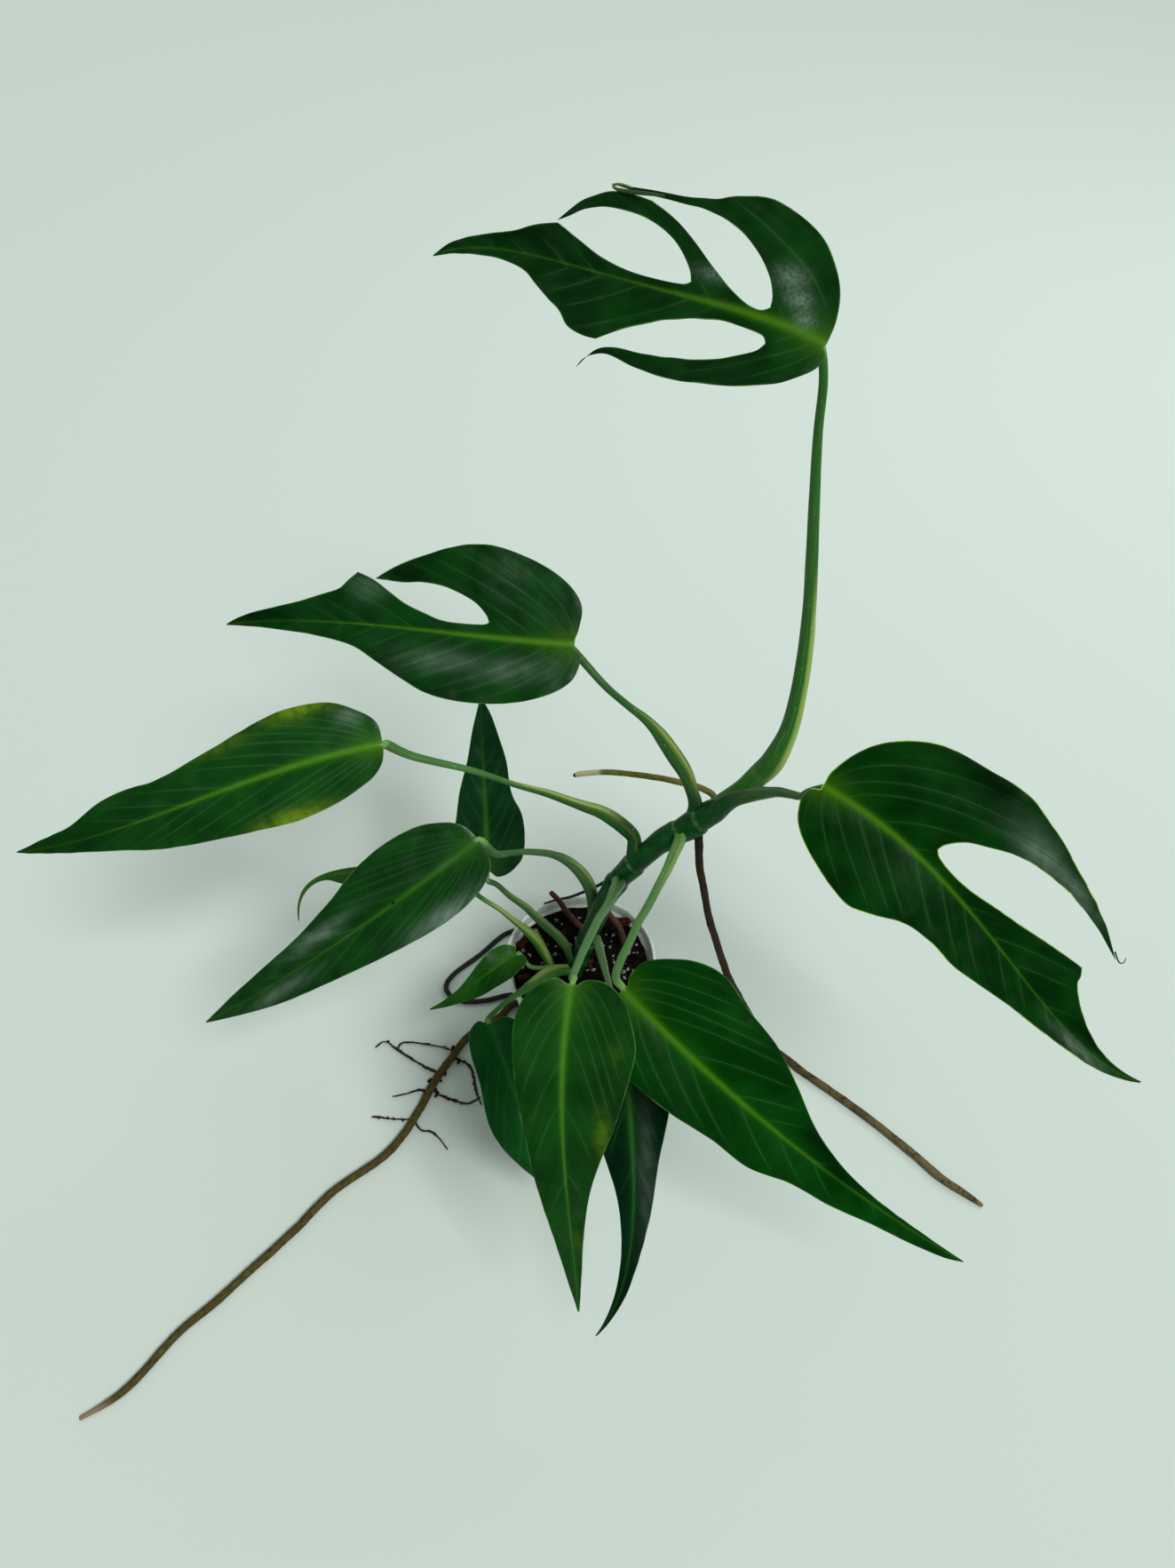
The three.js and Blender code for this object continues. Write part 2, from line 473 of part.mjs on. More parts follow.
// A half's outline as [u, v] points: out along its margin, in and out of its slots, and back along the midrib.
function halfOutline(half, length) {
  const margin = half.lobes.flatMap((lobe, n) => {
    const edge = stepped(lobe, STEPS.margin);
    const slot = half.slots[n];
    if (!slot) return edge;
    const near = stepped([lobe[lobe.length - 1], ...[...slot.near].reverse(), slot.end], STEPS.slot);
    const far = stepped([slot.end, ...slot.far, half.lobes[n + 1][0]], STEPS.slot);
    return [...edge, ...near.slice(1), ...far.slice(1, -1)];
  });
  const feet = Math.round(length / STEPS.midrib);
  return [...margin, ...Array.from({ length: feet + 1 }, (_, n) => [length * (1 - n / feet), 0])];
}

// How far a point lies inside an outline, or a negative value outside it.
function depthIn(outline, [u, v]) {
  let inside = false;
  let nearest = Infinity;
  outline.forEach(([bu, bv], n) => {
    const [au, av] = outline[(n || outline.length) - 1];
    if (av > v !== bv > v && u < au + ((bu - au) * (v - av)) / (bv - av)) inside = !inside;
    const along = ((u - au) * (bu - au) + (v - av) * (bv - av)) / ((bu - au) ** 2 + (bv - av) ** 2);
    const t = Math.max(0, Math.min(1, along));
    nearest = Math.min(nearest, Math.hypot(u - au - t * (bu - au), v - av - t * (bv - av)));
  });
  return inside ? nearest : -nearest;
}

const turn = ([au, av], [bu, bv], [cu, cv]) => (bu - au) * (cv - av) - (bv - av) * (cu - au);

// The angle at c between a and b.
function angleAt([cu, cv], [au, av], [bu, bv]) {
  return Math.abs(THREE.MathUtils.euclideanModulo(
    Math.atan2(bv - cv, bu - cu) - Math.atan2(av - cv, au - cu) + Math.PI, 2 * Math.PI) - Math.PI);
}

// Turns the shared edges of thin faces until the faces are as full as the points allow.
function fillOut(points, faces) {
  let changed = true;
  while (changed) {
    changed = false;
    const owners = new Map(faces.flatMap((face, n) => face.map((from, k) => [`${from},${face[(k + 1) % 3]}`, n])));
    const done = new Set();
    owners.forEach((first, edge) => {
      const [a, b] = edge.split(',').map(Number);
      const second = owners.get(`${b},${a}`);
      if (second === undefined || done.has(first) || done.has(second)) return;
      const c = faces[first].find((k) => k !== a && k !== b);
      const d = faces[second].find((k) => k !== a && k !== b);
      const sum = angleAt(points[c], points[a], points[b]) + angleAt(points[d], points[a], points[b]);
      if (sum < Math.PI + 1e-6) return;
      faces[first] = [a, d, c];
      faces[second] = [d, b, c];
      [first, second].forEach((n) => done.add(n));
      changed = true;
    });
  }
}

// A half's flat sheet: its outline and a few inner points, joined into faces.
function halfSheet(half, length) {
  const outline = halfOutline(half, length);
  const inner = [];
  for (let row = 1; row < 6; row += 1) {
    for (let u = (row % 2) * 0.5 * STEPS.inner; u < length; u += STEPS.inner) {
      const point = [u, 0.8 * row * STEPS.inner];
      if (depthIn(outline, point) > 0.4 * STEPS.inner) inner.push(point);
    }
  }
  const points = [...outline, ...inner];
  const faces = THREE.ShapeUtils.triangulateShape(outline.map(([u, v]) => new THREE.Vector2(u, v)), [])
    .map(([a, b, c]) => (turn(points[a], points[b], points[c]) > 0 ? [a, b, c] : [a, c, b]));
  inner.forEach((point, n) => {
    const home = faces.findIndex((face) => face.every((from, k) => (
      turn(points[from], points[face[(k + 1) % 3]], point) >= 0)));
    const [a, b, c] = faces[home];
    const centre = outline.length + n;
    faces.splice(home, 1, [a, b, centre], [b, c, centre], [c, a, centre]);
  });
  fillOut(points, faces);
  return { points, faces };
}

// Ripples stand highest at the margin, three or so to a side.
function ripple(leaf, u, v, length) {
  const out = Math.min(1, Math.abs(v) / (0.16 * length));
  return leaf.wave * out * out * Math.sin((6.5 * Math.PI * u) / length + (v > 0 ? 0.6 : 2.4));
}

function bladeSolid(leaf, grow = 0) {
  const blade = new Blade(leaf);
  const places = [];
  const marks = new Map();
  const mark = (u, v) => {
    const key = `${u.toFixed(3)},${v.toFixed(3)}`;
    if (!marks.has(key)) marks.set(key, places.push([u, v]) - 1);
    return marks.get(key);
  };
  const sheet = [[leaf.left, 1], [leaf.right, -1]].flatMap(([half, side]) => {
    const { points, faces } = halfSheet(half, blade.length);
    const index = points.map(([u, v]) => mark(u, v === 0 ? 0 : side * v));
    return faces.map(([a, b, c]) => (side > 0 ? [index[a], index[b], index[c]] : [index[a], index[c], index[b]]));
  });
  const half = BLADE_THICKNESS / 2 + grow;
  const count = places.length;
  const face = (w) => places.map(([u, v]) => {
    const ridge = w < 0 && v === 0 ? MIDRIB_RIDGE * (1 - u / (1.1 * blade.length)) : 0;
    return blade.point(u, v, w - ridge + ripple(leaf, u, v, blade.length));
  });
  const points = [...face(half), ...face(-half)];
  const edges = new Map();
  sheet.forEach((corners) => corners.forEach((from, n) => {
    const to = corners[(n + 1) % 3];
    if (!edges.delete(`${to},${from}`)) edges.set(`${from},${to}`, [from, to]);
  }));
  const walls = [...edges.values()].flatMap(([from, to]) => [[to, from, from + count], [to, from + count, to + count]]);
  const faces = [...sheet, ...sheet.map(([a, b, c]) => [a + count, c + count, b + count]), ...walls];
  return solidFrom(points, faces);
}

// The petiole's last stretch bends into the blade's junction.
function petiolePath(name) {
  const blade = new Blade(LEAVES[name]);
  const { centre, ahead, up } = blade.frame(0);
  const path = PETIOLES[name].path;
  const radius = path[path.length - 1][3];
  const knee = centre.clone().addScaledVector(ahead, -0.3 * KNEE).addScaledVector(up, -0.55 * KNEE);
  const tip = centre.clone().addScaledVector(ahead, -1.2).addScaledVector(up, -0.5);
  return [...path, [...knee.toArray(), radius * 1.15], [...tip.toArray(), radius * 0.95]];
}

function petioleSolid(name, grow = 0) {
  const { groove, sheath } = PETIOLES[name];
  return limb(petiolePath(name), { groove, sheath, grow });
}

function stemSolid(grow = 0) {
  const ringed = evenPoints(STEM, STEM_STEPS, 3).map(([x, y, z, radius]) => {
    const ring = NODES.reduce((sum, node) => sum + Math.exp(-(((z - node) / NODE_WIDTH) ** 2)), 0);
    return [x, y, z, radius + NODE_SWELL * ring];
  });
  return limb(ringed, { sides: 10, step: 4.4, grow, groove: [-1, 0, 0.2] });
}

const rootSolid = (path, grow = 0) => limb(path, { sides: 6, step: 13, grow, groove: [0.3, 0.2, 1] });

function longLeftRoot() {
  const rootlets = ROOTLETS.map((path) => limb(path, { sides: 4, step: 11 }));
  return rootlets.reduce((root, rootlet) => root.add(rootlet), rootSolid(ROOTS.long_left));
}

function turned(profile) {
  const points = profile.map(([radius, z]) => new THREE.Vector2(radius, z));
  return new THREE.LatheGeometry(points, POT_SIDES).rotateX(Math.PI / 2);
}

const shoulderZ = POT.height - POT.bandDepth;

// The pot's inner radius at a height, below its shoulder.
function innerRadius(z) {
  return POT.footRadius + ((POT.shoulderRadius - POT.footRadius) * z) / shoulderZ - POT.wall;
}

function potSolid() {
  const { footRadius, shoulderRadius, rimRadius, height, wall, floor } = POT;
  const shell = solidOf(turned([
    [0, 0], [footRadius - 1, 0], [footRadius, 1], [shoulderRadius, shoulderZ], [rimRadius - 1, shoulderZ + 1.5],
    [rimRadius - 0.4, height - 2.4], [rimRadius, height - 1], [rimRadius - 1, height],
    [rimRadius - 2.2, height - 1], [rimRadius - 2.6, shoulderZ + 3.2], [shoulderRadius - wall, shoulderZ + 0.6],
    [footRadius - wall + 0.15, floor], [0, floor],
  ]));
  const slots = Array.from({ length: SLOT.count }, (_, n) => {
    const angle = THREE.MathUtils.degToRad(SLOT.firstAngle + (360 * n) / SLOT.count);
    const box = new THREE.BoxGeometry(SLOT.depth, SLOT.width, SLOT.height);
    box.translate(footRadius, 0, SLOT.height / 2 + floor + 0.4).rotateZ(angle);
    return solidOf(box);
  });
  return cut(shell, slots);
}

// A repeatable run of numbers from 0 to 1.
function seeded(seed) {
  let state = seed;
  return () => {
    state = (state * 16807) % 2147483647;
    return state / 2147483647;
  };
}

const soilHeight = (x, y) => SOIL.top + SOIL.roughness * (Math.sin(0.31 * x + 1.1) * Math.sin(0.27 * y)
  + 0.5 * Math.sin(0.57 * x - 0.43 * y));

function soilBody() {
  const reach = innerRadius(SOIL.top - 6) - GAP;
  const crown = Array.from({ length: SOIL.rings }, (_, n) => [(reach * (SOIL.rings - n)) / SOIL.rings, SOIL.top]);
  const geometry = turned([
    [0, POT.floor + GAP], [innerRadius(POT.floor) - GAP - 0.2, POT.floor + GAP],
    [reach, SOIL.top - 5], ...crown, [0, SOIL.top],
  ]);
  const place = geometry.getAttribute('position');
  for (let n = 0; n < place.count; n += 1) {
    if (place.getZ(n) > SOIL.top - 1) place.setZ(n, soilHeight(place.getX(n), place.getY(n)));
  }
  return solidOf(geometry);
}

// Where stems and roots go into the soil: x, y, and the radius that grains keep away from.
const ENTRIES = [[-5, -7, 14], [-21, -3, 7], [5, 24, 7], [31, 14, 7]];

function soilGrains() {
  const random = seeded(11);
  const spread = (limit) => {
    const angle = 2 * Math.PI * random();
    const radius = limit * Math.sqrt(random());
    const [x, y] = [radius * Math.cos(angle), radius * Math.sin(angle)];
    return ENTRIES.some(([a, b, keep]) => Math.hypot(x - a, y - b) < keep) ? spread(limit) : [x, y];
  };
  const perlite = Array.from({ length: PERLITE.count }, () => {
    const [x, y] = spread(42);
    const radius = PERLITE.radius[0] + random() * (PERLITE.radius[1] - PERLITE.radius[0]);
    const grain = new THREE.IcosahedronGeometry(radius, 0).rotateX(3 * random()).rotateY(3 * random());
    return solidOf(grain.translate(x, y, soilHeight(x, y) - 0.2 * radius));
  });
  const bark = Array.from({ length: BARK.count }, () => {
    const [x, y] = spread(38);
    const chip = new THREE.BoxGeometry(...BARK.size).rotateX(0.5 * random()).rotateY(0.9 * random() - 0.4);
    return solidOf(chip.rotateZ(3 * random()).translate(x, y, soilHeight(x, y) - 0.4));
  });
  return [...perlite, ...bark];
}

function soilSolid(holes) {
  const heap = soilGrains().reduce((soil, grain) => soil.add(grain), soilBody());
  return cut(heap, holes);
}

const group = new THREE.Group();

function place(name, solid, finish) {
  const material = new THREE.MeshStandardMaterial({ ...finish, metalness: 0 });
  const mesh = new THREE.Mesh(geometryOf(solid), material);
  mesh.name = name;
  group.add(mesh);
}

// What each petiole is cut back from, besides the stem: the petioles that it starts against.
const NEIGHBOURS = { d: ['a'], h: ['f', 'l'], k: ['e'], l: ['f'] };
const ROOT_NEIGHBOURS = { back_left: ['a'], stub_right: ['e'] };

const stem = stemSolid();
const stemSpace = stemSolid(GAP);

place('pot', potSolid(), FINISH.pot);
place('stem', stem, FINISH.stem);

Object.keys(LEAVES).forEach((name) => {
  place(`blade_${name}`, bladeSolid(LEAVES[name]), FINISH.blade);
  const neighbours = (NEIGHBOURS[name] ?? []).map((other) => petioleSolid(other, GAP));
  const bladeSpace = bladeSolid(LEAVES[name], GAP);
  const petiole = cut(petioleSolid(name), [stemSpace, bladeSpace, ...neighbours]);
  place(`petiole_${name}`, petiole, FINISH.petiole);
});

const darkRoots = ['rim_left', 'floor_loop', 'stub_back'];
Object.keys(ROOTS).forEach((name) => {
  const whole = name === 'long_left' ? longLeftRoot() : rootSolid(ROOTS[name]);
  const beside = ROOT_NEIGHBOURS[name] ?? [];
  place(`root_${name}`, cut(whole, [stemSpace, ...beside.map((other) => petioleSolid(other, GAP))]), darkRoots.includes(name) ? FINISH.rootDark : FINISH.root);
});

const inSoil = [
  stemSpace,
  ...['f', 'g', 'h', 'l'].map((name) => petioleSolid(name, GAP)),
  ...['long_left', 'floor_loop', 'stub_back', 'stub_right'].map((name) => rootSolid(ROOTS[name], GAP)),
];
place('soil', soilSolid(inSoil), FINISH.soil);

export default group;
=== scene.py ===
import math
import random

import bpy
import numpy as np
from mathutils import Matrix, Vector, noise
from mathutils.geometry import delaunay_2d_cdt


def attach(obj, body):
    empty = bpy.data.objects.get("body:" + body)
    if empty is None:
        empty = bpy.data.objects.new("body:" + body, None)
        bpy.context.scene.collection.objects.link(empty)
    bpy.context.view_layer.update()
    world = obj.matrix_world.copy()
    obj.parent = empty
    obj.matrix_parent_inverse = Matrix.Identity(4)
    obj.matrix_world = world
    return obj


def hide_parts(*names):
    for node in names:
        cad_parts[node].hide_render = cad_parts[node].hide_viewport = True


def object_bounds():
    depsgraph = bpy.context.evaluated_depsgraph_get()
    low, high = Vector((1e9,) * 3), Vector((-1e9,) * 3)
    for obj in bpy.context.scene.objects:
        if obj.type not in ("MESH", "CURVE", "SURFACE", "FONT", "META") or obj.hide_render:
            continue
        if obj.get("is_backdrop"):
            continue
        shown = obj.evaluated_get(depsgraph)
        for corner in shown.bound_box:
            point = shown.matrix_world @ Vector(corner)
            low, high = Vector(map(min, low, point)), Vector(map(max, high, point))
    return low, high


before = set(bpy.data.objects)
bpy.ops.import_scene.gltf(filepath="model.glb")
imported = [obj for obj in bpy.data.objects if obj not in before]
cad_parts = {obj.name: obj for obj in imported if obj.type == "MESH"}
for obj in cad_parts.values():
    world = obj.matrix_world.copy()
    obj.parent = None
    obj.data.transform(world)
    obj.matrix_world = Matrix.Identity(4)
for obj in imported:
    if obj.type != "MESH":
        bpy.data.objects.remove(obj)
cad_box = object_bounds()
MM = 0.001

# A blade is a keeled sheet that levels off towards its margin, thinner there than inside.
KEEL = 0.18
CURL = -0.005
BLADE_HALF = 0.3
MARGIN_HALF = 0.16
MIDRIB_RIDGE = 0.9
HIGHEST = 554.2  # the top of leaf A, which is the top of the CAD box
FLOOR_GAP = 0.05  # the least height of a limb above the floor

POT = {"foot": 42.5, "shoulder": 48.5, "rim": 52.5, "height": 92, "band": 12, "wall": 1.2, "floor": 2}
SLOT = {"count": 6, "first": 160, "width": 22, "height": 9, "depth": 14, "corner": 2}
SOIL_TOP = 84
# Where stems and roots leave the soil, x and y, with the clear distance round each.
STANDING = [(-5, -7, 8), (-21, -3, 4.5), (6, 24, 4), (31, 14, 4), (-3, -9, 9)]
# Soil clinging to the long root's rootlets, and the two biggest bark chips: x, y, z, size.
DIRT = [(-94, -24, 4.5, 1.9), (-90, -34, 2, 1.6), (-99, -44, 3, 1.8), (-110, -50, 4, 1.6),
    (-104, -60, 1.8, 1.7), (-92, -29, 3, 1.3), (-102, -49, 2.4, 1.3), (-113, -58, 3, 1.1)]
BIG_BARK = [(30, 33, 86.5, 5.2), (-41, 16, 85.5, 4.6)]

# Each midrib is a Bezier curve, and face is where the upper side looks at the junction and at the tip. A half
# of the margin is given flat, as the distance along the midrib and out from it: a lobe, and on split leaves a
# slot and the next lobe, and so on. A slot has its inner end and its near and far sides, from that end out.
LEAVES = {
    "a": {
        "midrib": [(113, 64, 513), (63, 97, 524), (16, 113, 507), (-30, 169, 521), (-77, 184, 496)],
        "face": [(-0.23, -0.61, 0.76), (-0.49, -0.73, 0.48)], "wave": 1.2,
        "left": [
            [(0, 2.5), (-3, 6), (-2, 13), (4, 21), (14, 28), (28, 33), (46, 36.5), (66, 39), (84, 38),
                (100, 35.5), (109, 37.5), (114, 41), (116, 45)],
            {"end": (25.7, 11.2), "near": [(28.4, 15.6), (36, 20), (47, 25), (62, 28.5), (80, 31),
                (97, 31.5), (108, 35)],
             "far": [(28.2, 8.3), (33, 7.4), (41, 7), (52, 7.2), (66, 10), (80, 14.5), (95, 21.5)]},
            [(110, 30), (119, 30), (128, 28), (136, 22), (145, 18), (155, 13), (165, 8), (180, 5), (204, 3),
                (227, 0.4)],
        ],
        "right": [
            [(0, 2.5), (1, 10), (5, 21), (12, 31), (21, 40), (32, 46), (46, 49.5), (58, 48), (73, 43.5),
                (88, 42), (106, 41), (127, 39)],
            {"end": (31, 5), "near": [(32, 10), (37, 18), (46, 26.5), (58, 33.5), (74, 37.8), (92, 38.8),
                (110, 38.6)],
             "far": [(35, 2.8), (42, 3.6), (52, 8), (64, 15.5), (78, 25), (91, 32)]},
            [(104, 36.5), (114, 37), (125, 36), (136, 31.5), (145, 25), (151.5, 18)],
            {"end": (72, 6.5), "near": [(74, 11), (80, 17.5), (90, 24), (104, 28.4), (120, 29.3), (134, 27),
                (144, 22)],
             "far": [(76, 4.6), (88, 4), (103, 4.2), (118, 6.2), (130, 9.5), (141, 13.5)]},
            [(151, 17), (164, 14), (176, 9.5), (190, 7), (204, 5.2), (216, 3.4), (227, 0.4)],
        ],
    },
    "b": {
        "midrib": [(-2, 42, 349), (-72, 42, 354), (-140, 67, 351), (-205, 79, 330)],
        "face": [(0.05, -0.63, 0.78), (-0.35, -0.65, 0.67)], "wave": 1.4,
        "left": [[(0, 2.5), (-3, 6), (-3, 12), (1, 21), (11, 28.5), (26, 34), (46, 37), (64, 37), (80, 34),
            (96, 27), (110, 20), (126, 12.5), (150, 8), (178, 4.5), (209, 0.4)]],
        "right": [
            [(0, 2.5), (-2, 9), (-3, 20), (2, 29), (13, 38), (30, 45.5), (50, 49.5), (68, 48), (86, 42),
                (101, 34.5), (114, 25.6)],
            {"end": (48, 8), "near": [(50, 12), (56, 17.5), (65, 21.8), (76, 25), (88, 26), (99, 24.8)],
             "far": [(51, 6.6), (62, 6), (74, 6.4), (85, 9.5), (96, 13.6), (106, 19.5), (115, 25)]},
            [(124, 28.4), (130, 23.5), (136, 18.5), (147, 15), (160, 11), (178, 7.5), (195, 4.5),
                (209, 0.4)],
        ],
    },
    "c": {
        "midrib": [(-111, 14, 298), (-187, -5, 299), (-256, -28, 262), (-330, -19, 240)],
        "face": [(0.14, -0.53, 0.84), (-0.3, -0.48, 0.82)], "wave": 1.6,
        "left": [[(0, 3), (3, 12), (12, 20), (30, 27), (56, 31), (84, 29), (111, 25), (138, 20), (166, 12),
            (200, 5), (231, 0.4)]],
        "right": [[(0, 3), (1, 12), (8, 20), (25, 30), (48, 32), (74, 28), (102, 23), (129, 19), (150, 20),
            (170, 18), (190, 10), (214, 5), (231, 0.4)]],
    },
    "d": {
        "midrib": [(126, -43, 330), (180, -72, 315), (219, -103, 282), (251, -143, 226), (305, -145, 201)],
        "face": [(-0.18, -0.71, 0.68), (0.29, -0.67, 0.69)], "wave": 1.4,
        "left": [
            [(0, 2.5), (0, 8), (4, 20), (11, 32), (22, 43), (36, 51), (54, 55.5), (75, 60.5), (95, 59),
                (118, 57), (140, 54), (160, 48.5), (176, 43.6)],
            {"end": (65, 9.5), "near": [(66, 14), (72, 22), (81, 28.5), (93, 36), (108, 41.5), (126, 45.6),
                (145, 46.4), (160, 45.2)],
             "far": [(69, 7), (80, 6), (92, 7.4), (106, 11), (122, 15.5), (142, 21.8)]},
            [(164, 27.4), (168, 24), (170, 20.5), (178, 16), (190, 11), (207, 6), (224, 3), (248, 0.4)],
        ],
        "right": [[(0, 2.5), (-5, 5), (-6, 12), (-2, 22), (7, 30), (22, 37), (38, 41.5), (52, 42.5),
            (66, 37), (82, 29), (98, 26), (116, 25), (134, 20.5), (152, 15.5), (172, 11.5), (192, 8),
            (215, 5), (248, 0.4)]],
    },
    "e": {
        "midrib": [(-58, -20, 253), (-114, -57, 230), (-171, -75, 189), (-229, -81, 149)],
        "face": [(0.03, -0.56, 0.83), (-0.39, -0.64, 0.67)], "wave": 1.2,
        "left": [[(0, 3), (1, 12), (6, 19), (19, 25), (40, 27), (65, 25), (93, 21), (120, 17), (150, 13),
            (180, 7), (211, 0.4)]],
        "right": [[(0, 3), (2, 12), (9, 20), (24, 28), (45, 31), (70, 29), (96, 22), (124, 16), (152, 12),
            (182, 7), (211, 0.4)]],
    },
    "f": {
        "midrib": [(-59, 7, 184), (-62, 55, 181), (-68, 104, 185), (-71, 151, 196)],
        "face": [(0.05, 0.07, 1), (0.06, -0.21, 0.98)], "wave": 0.8,
        "left": [[(0, 2), (-3, 6), (-1, 14), (8, 21), (24, 23), (42, 20), (66, 17), (92, 11), (118, 6.5),
            (145, 0.4)]],
        "right": [[(0, 2), (-5, 7), (-2, 15), (7, 22), (24, 25), (44, 24), (64, 18), (90, 16), (110, 12),
            (130, 7), (145, 0.4)]],
    },
    "g": {
        "midrib": [(-73, 16, 150), (-107, 29, 160), (-130, 21, 152), (-193, 40, 168), (-188, 2, 135)],
        "face": [(0.04, -0.55, 0.84), (0.25, -0.61, 0.75)], "wave": 0.5,
        "left": [[(0, 2), (-2, 6), (1, 12), (12, 17), (30, 17), (50, 13), (70, 10), (88, 7), (100, 2.4),
            (118, 1.2), (137, 0.4)]],
        "right": [[(0, 2), (-2, 6), (1, 12), (12, 17), (30, 16), (50, 10), (66, 6), (80, 3.6), (100, 2),
            (118, 1.2), (137, 0.4)]],
    },
    "h": {
        "midrib": [(-42, -17, 124), (-62, -29, 123), (-79, -43, 110), (-100, -45, 100)],
        "face": [(0.13, -0.31, 0.94), (-0.35, -0.43, 0.83)], "wave": 0.6,
        "left": [[(0, 1.5), (-4, 3), (-3, 8), (5, 11), (18, 12), (34, 10), (48, 6), (60, 2.5), (70, 0.4)]],
        "right": [[(0, 1.5), (-1, 5), (5, 10), (14, 11), (24, 9), (34, 6), (46, 3), (58, 1.8), (70, 0.4)]],
    },
    "i": {
        "midrib": [(-3, -123, 267), (-15, -175, 223), (-3, -206, 161), (0, -234, 100)],
        "face": [(-0.1, -0.63, 0.77), (-0.02, -0.91, 0.42)], "wave": 1,
        "left": [[(0, 2.5), (-4, 8), (-4, 18), (2, 27), (16, 34), (32, 37), (55, 33), (77, 27), (98, 19),
            (120, 12), (147, 7), (175, 3.5), (204, 0.4)]],
        "right": [[(0, 2.5), (-2, 9), (4, 18), (14, 25), (30, 27), (55, 24), (85, 19.5), (115, 15),
            (150, 9), (180, 4.5), (204, 0.4)]],
    },
    "j": {
        "midrib": [(24, -116, 250), (84, -169, 215), (151, -195, 162), (218, -211, 110)],
        "face": [(-0.05, -0.59, 0.81), (0.35, -0.67, 0.66)], "wave": 1.4,
        "left": [[(0, 3), (-3, 8), (-3, 18), (5, 29), (18, 39), (34, 43), (55, 39), (80, 35), (104, 26),
            (128, 15), (150, 8.5), (170, 5), (195, 3), (230, 1.6), (259, 0.4)]],
        "right": [[(0, 3), (-3, 10), (2, 22), (14, 29), (34, 31), (60, 29), (86, 25), (111, 24), (135, 17),
            (162, 14), (190, 9.5), (220, 6.5), (245, 3.5), (259, 0.4)]],
    },
    "k": {
        "midrib": [(25, -100, 200), (27, -150, 169), (45, -211, 104), (10, -237, 60)],
        "face": [(-0.03, -0.53, 0.84), (-0.41, -0.6, 0.69)], "wave": 1.2,
        "left": [[(0, 3), (-3, 9), (1, 18), (14, 25), (36, 26), (60, 22), (86, 15), (112, 11), (141, 6.5),
            (170, 3.5), (201, 0.4)]],
        "right": [[(0, 3), (-3, 9), (1, 18), (14, 24), (36, 26), (62, 22), (85, 16), (107, 10), (133, 6),
            (160, 3.5), (201, 0.4)]],
    },
    "l": {
        "midrib": [(-57, -71, 129), (-41, -102, 110), (-32, -130, 80), (-16, -150, 50)],
        "face": [(0.09, -0.49, 0.87), (0.28, -0.72, 0.63)], "wave": 0.8,
        "left": [[(0, 2), (-1, 8), (3, 15), (14, 20), (32, 22), (55, 22), (75, 19), (92, 13), (107, 6.5),
            (120, 0.4)]],
        "right": [[(0, 2), (-4, 5), (-3, 10), (2, 15), (14, 18), (32, 19), (58, 22), (75, 19), (90, 13),
            (105, 6), (120, 0.4)]],
    },
}

# Every path below has a radius as its fourth number. The stem's scars are at the heights in NODES.
NODES = [100, 118, 183, 199, 226, 236]
STEM = [
    (-5, -7, 34, 5.6), (-5, -7, 80, 5.9), (-3, -6, 92, 5.8), (2, -5, 111, 5.8), (6, -4, 130, 5.9),
    (11, -3, 145, 5.9), (15, -2, 161, 5.9), (20, -1, 174, 6), (25, 0, 186, 6), (31, 1, 195, 5.8),
    (37, 2, 204, 5.8), (44, 3, 213, 5.7), (50, 4, 220, 5.8), (58, 5, 226, 6), (66, 6, 232, 6.2),
    (73, 7, 238, 6.3), (79, 8, 244, 6.2), (85, 7, 251, 4.8), (89, 6, 257, 3.4),
]

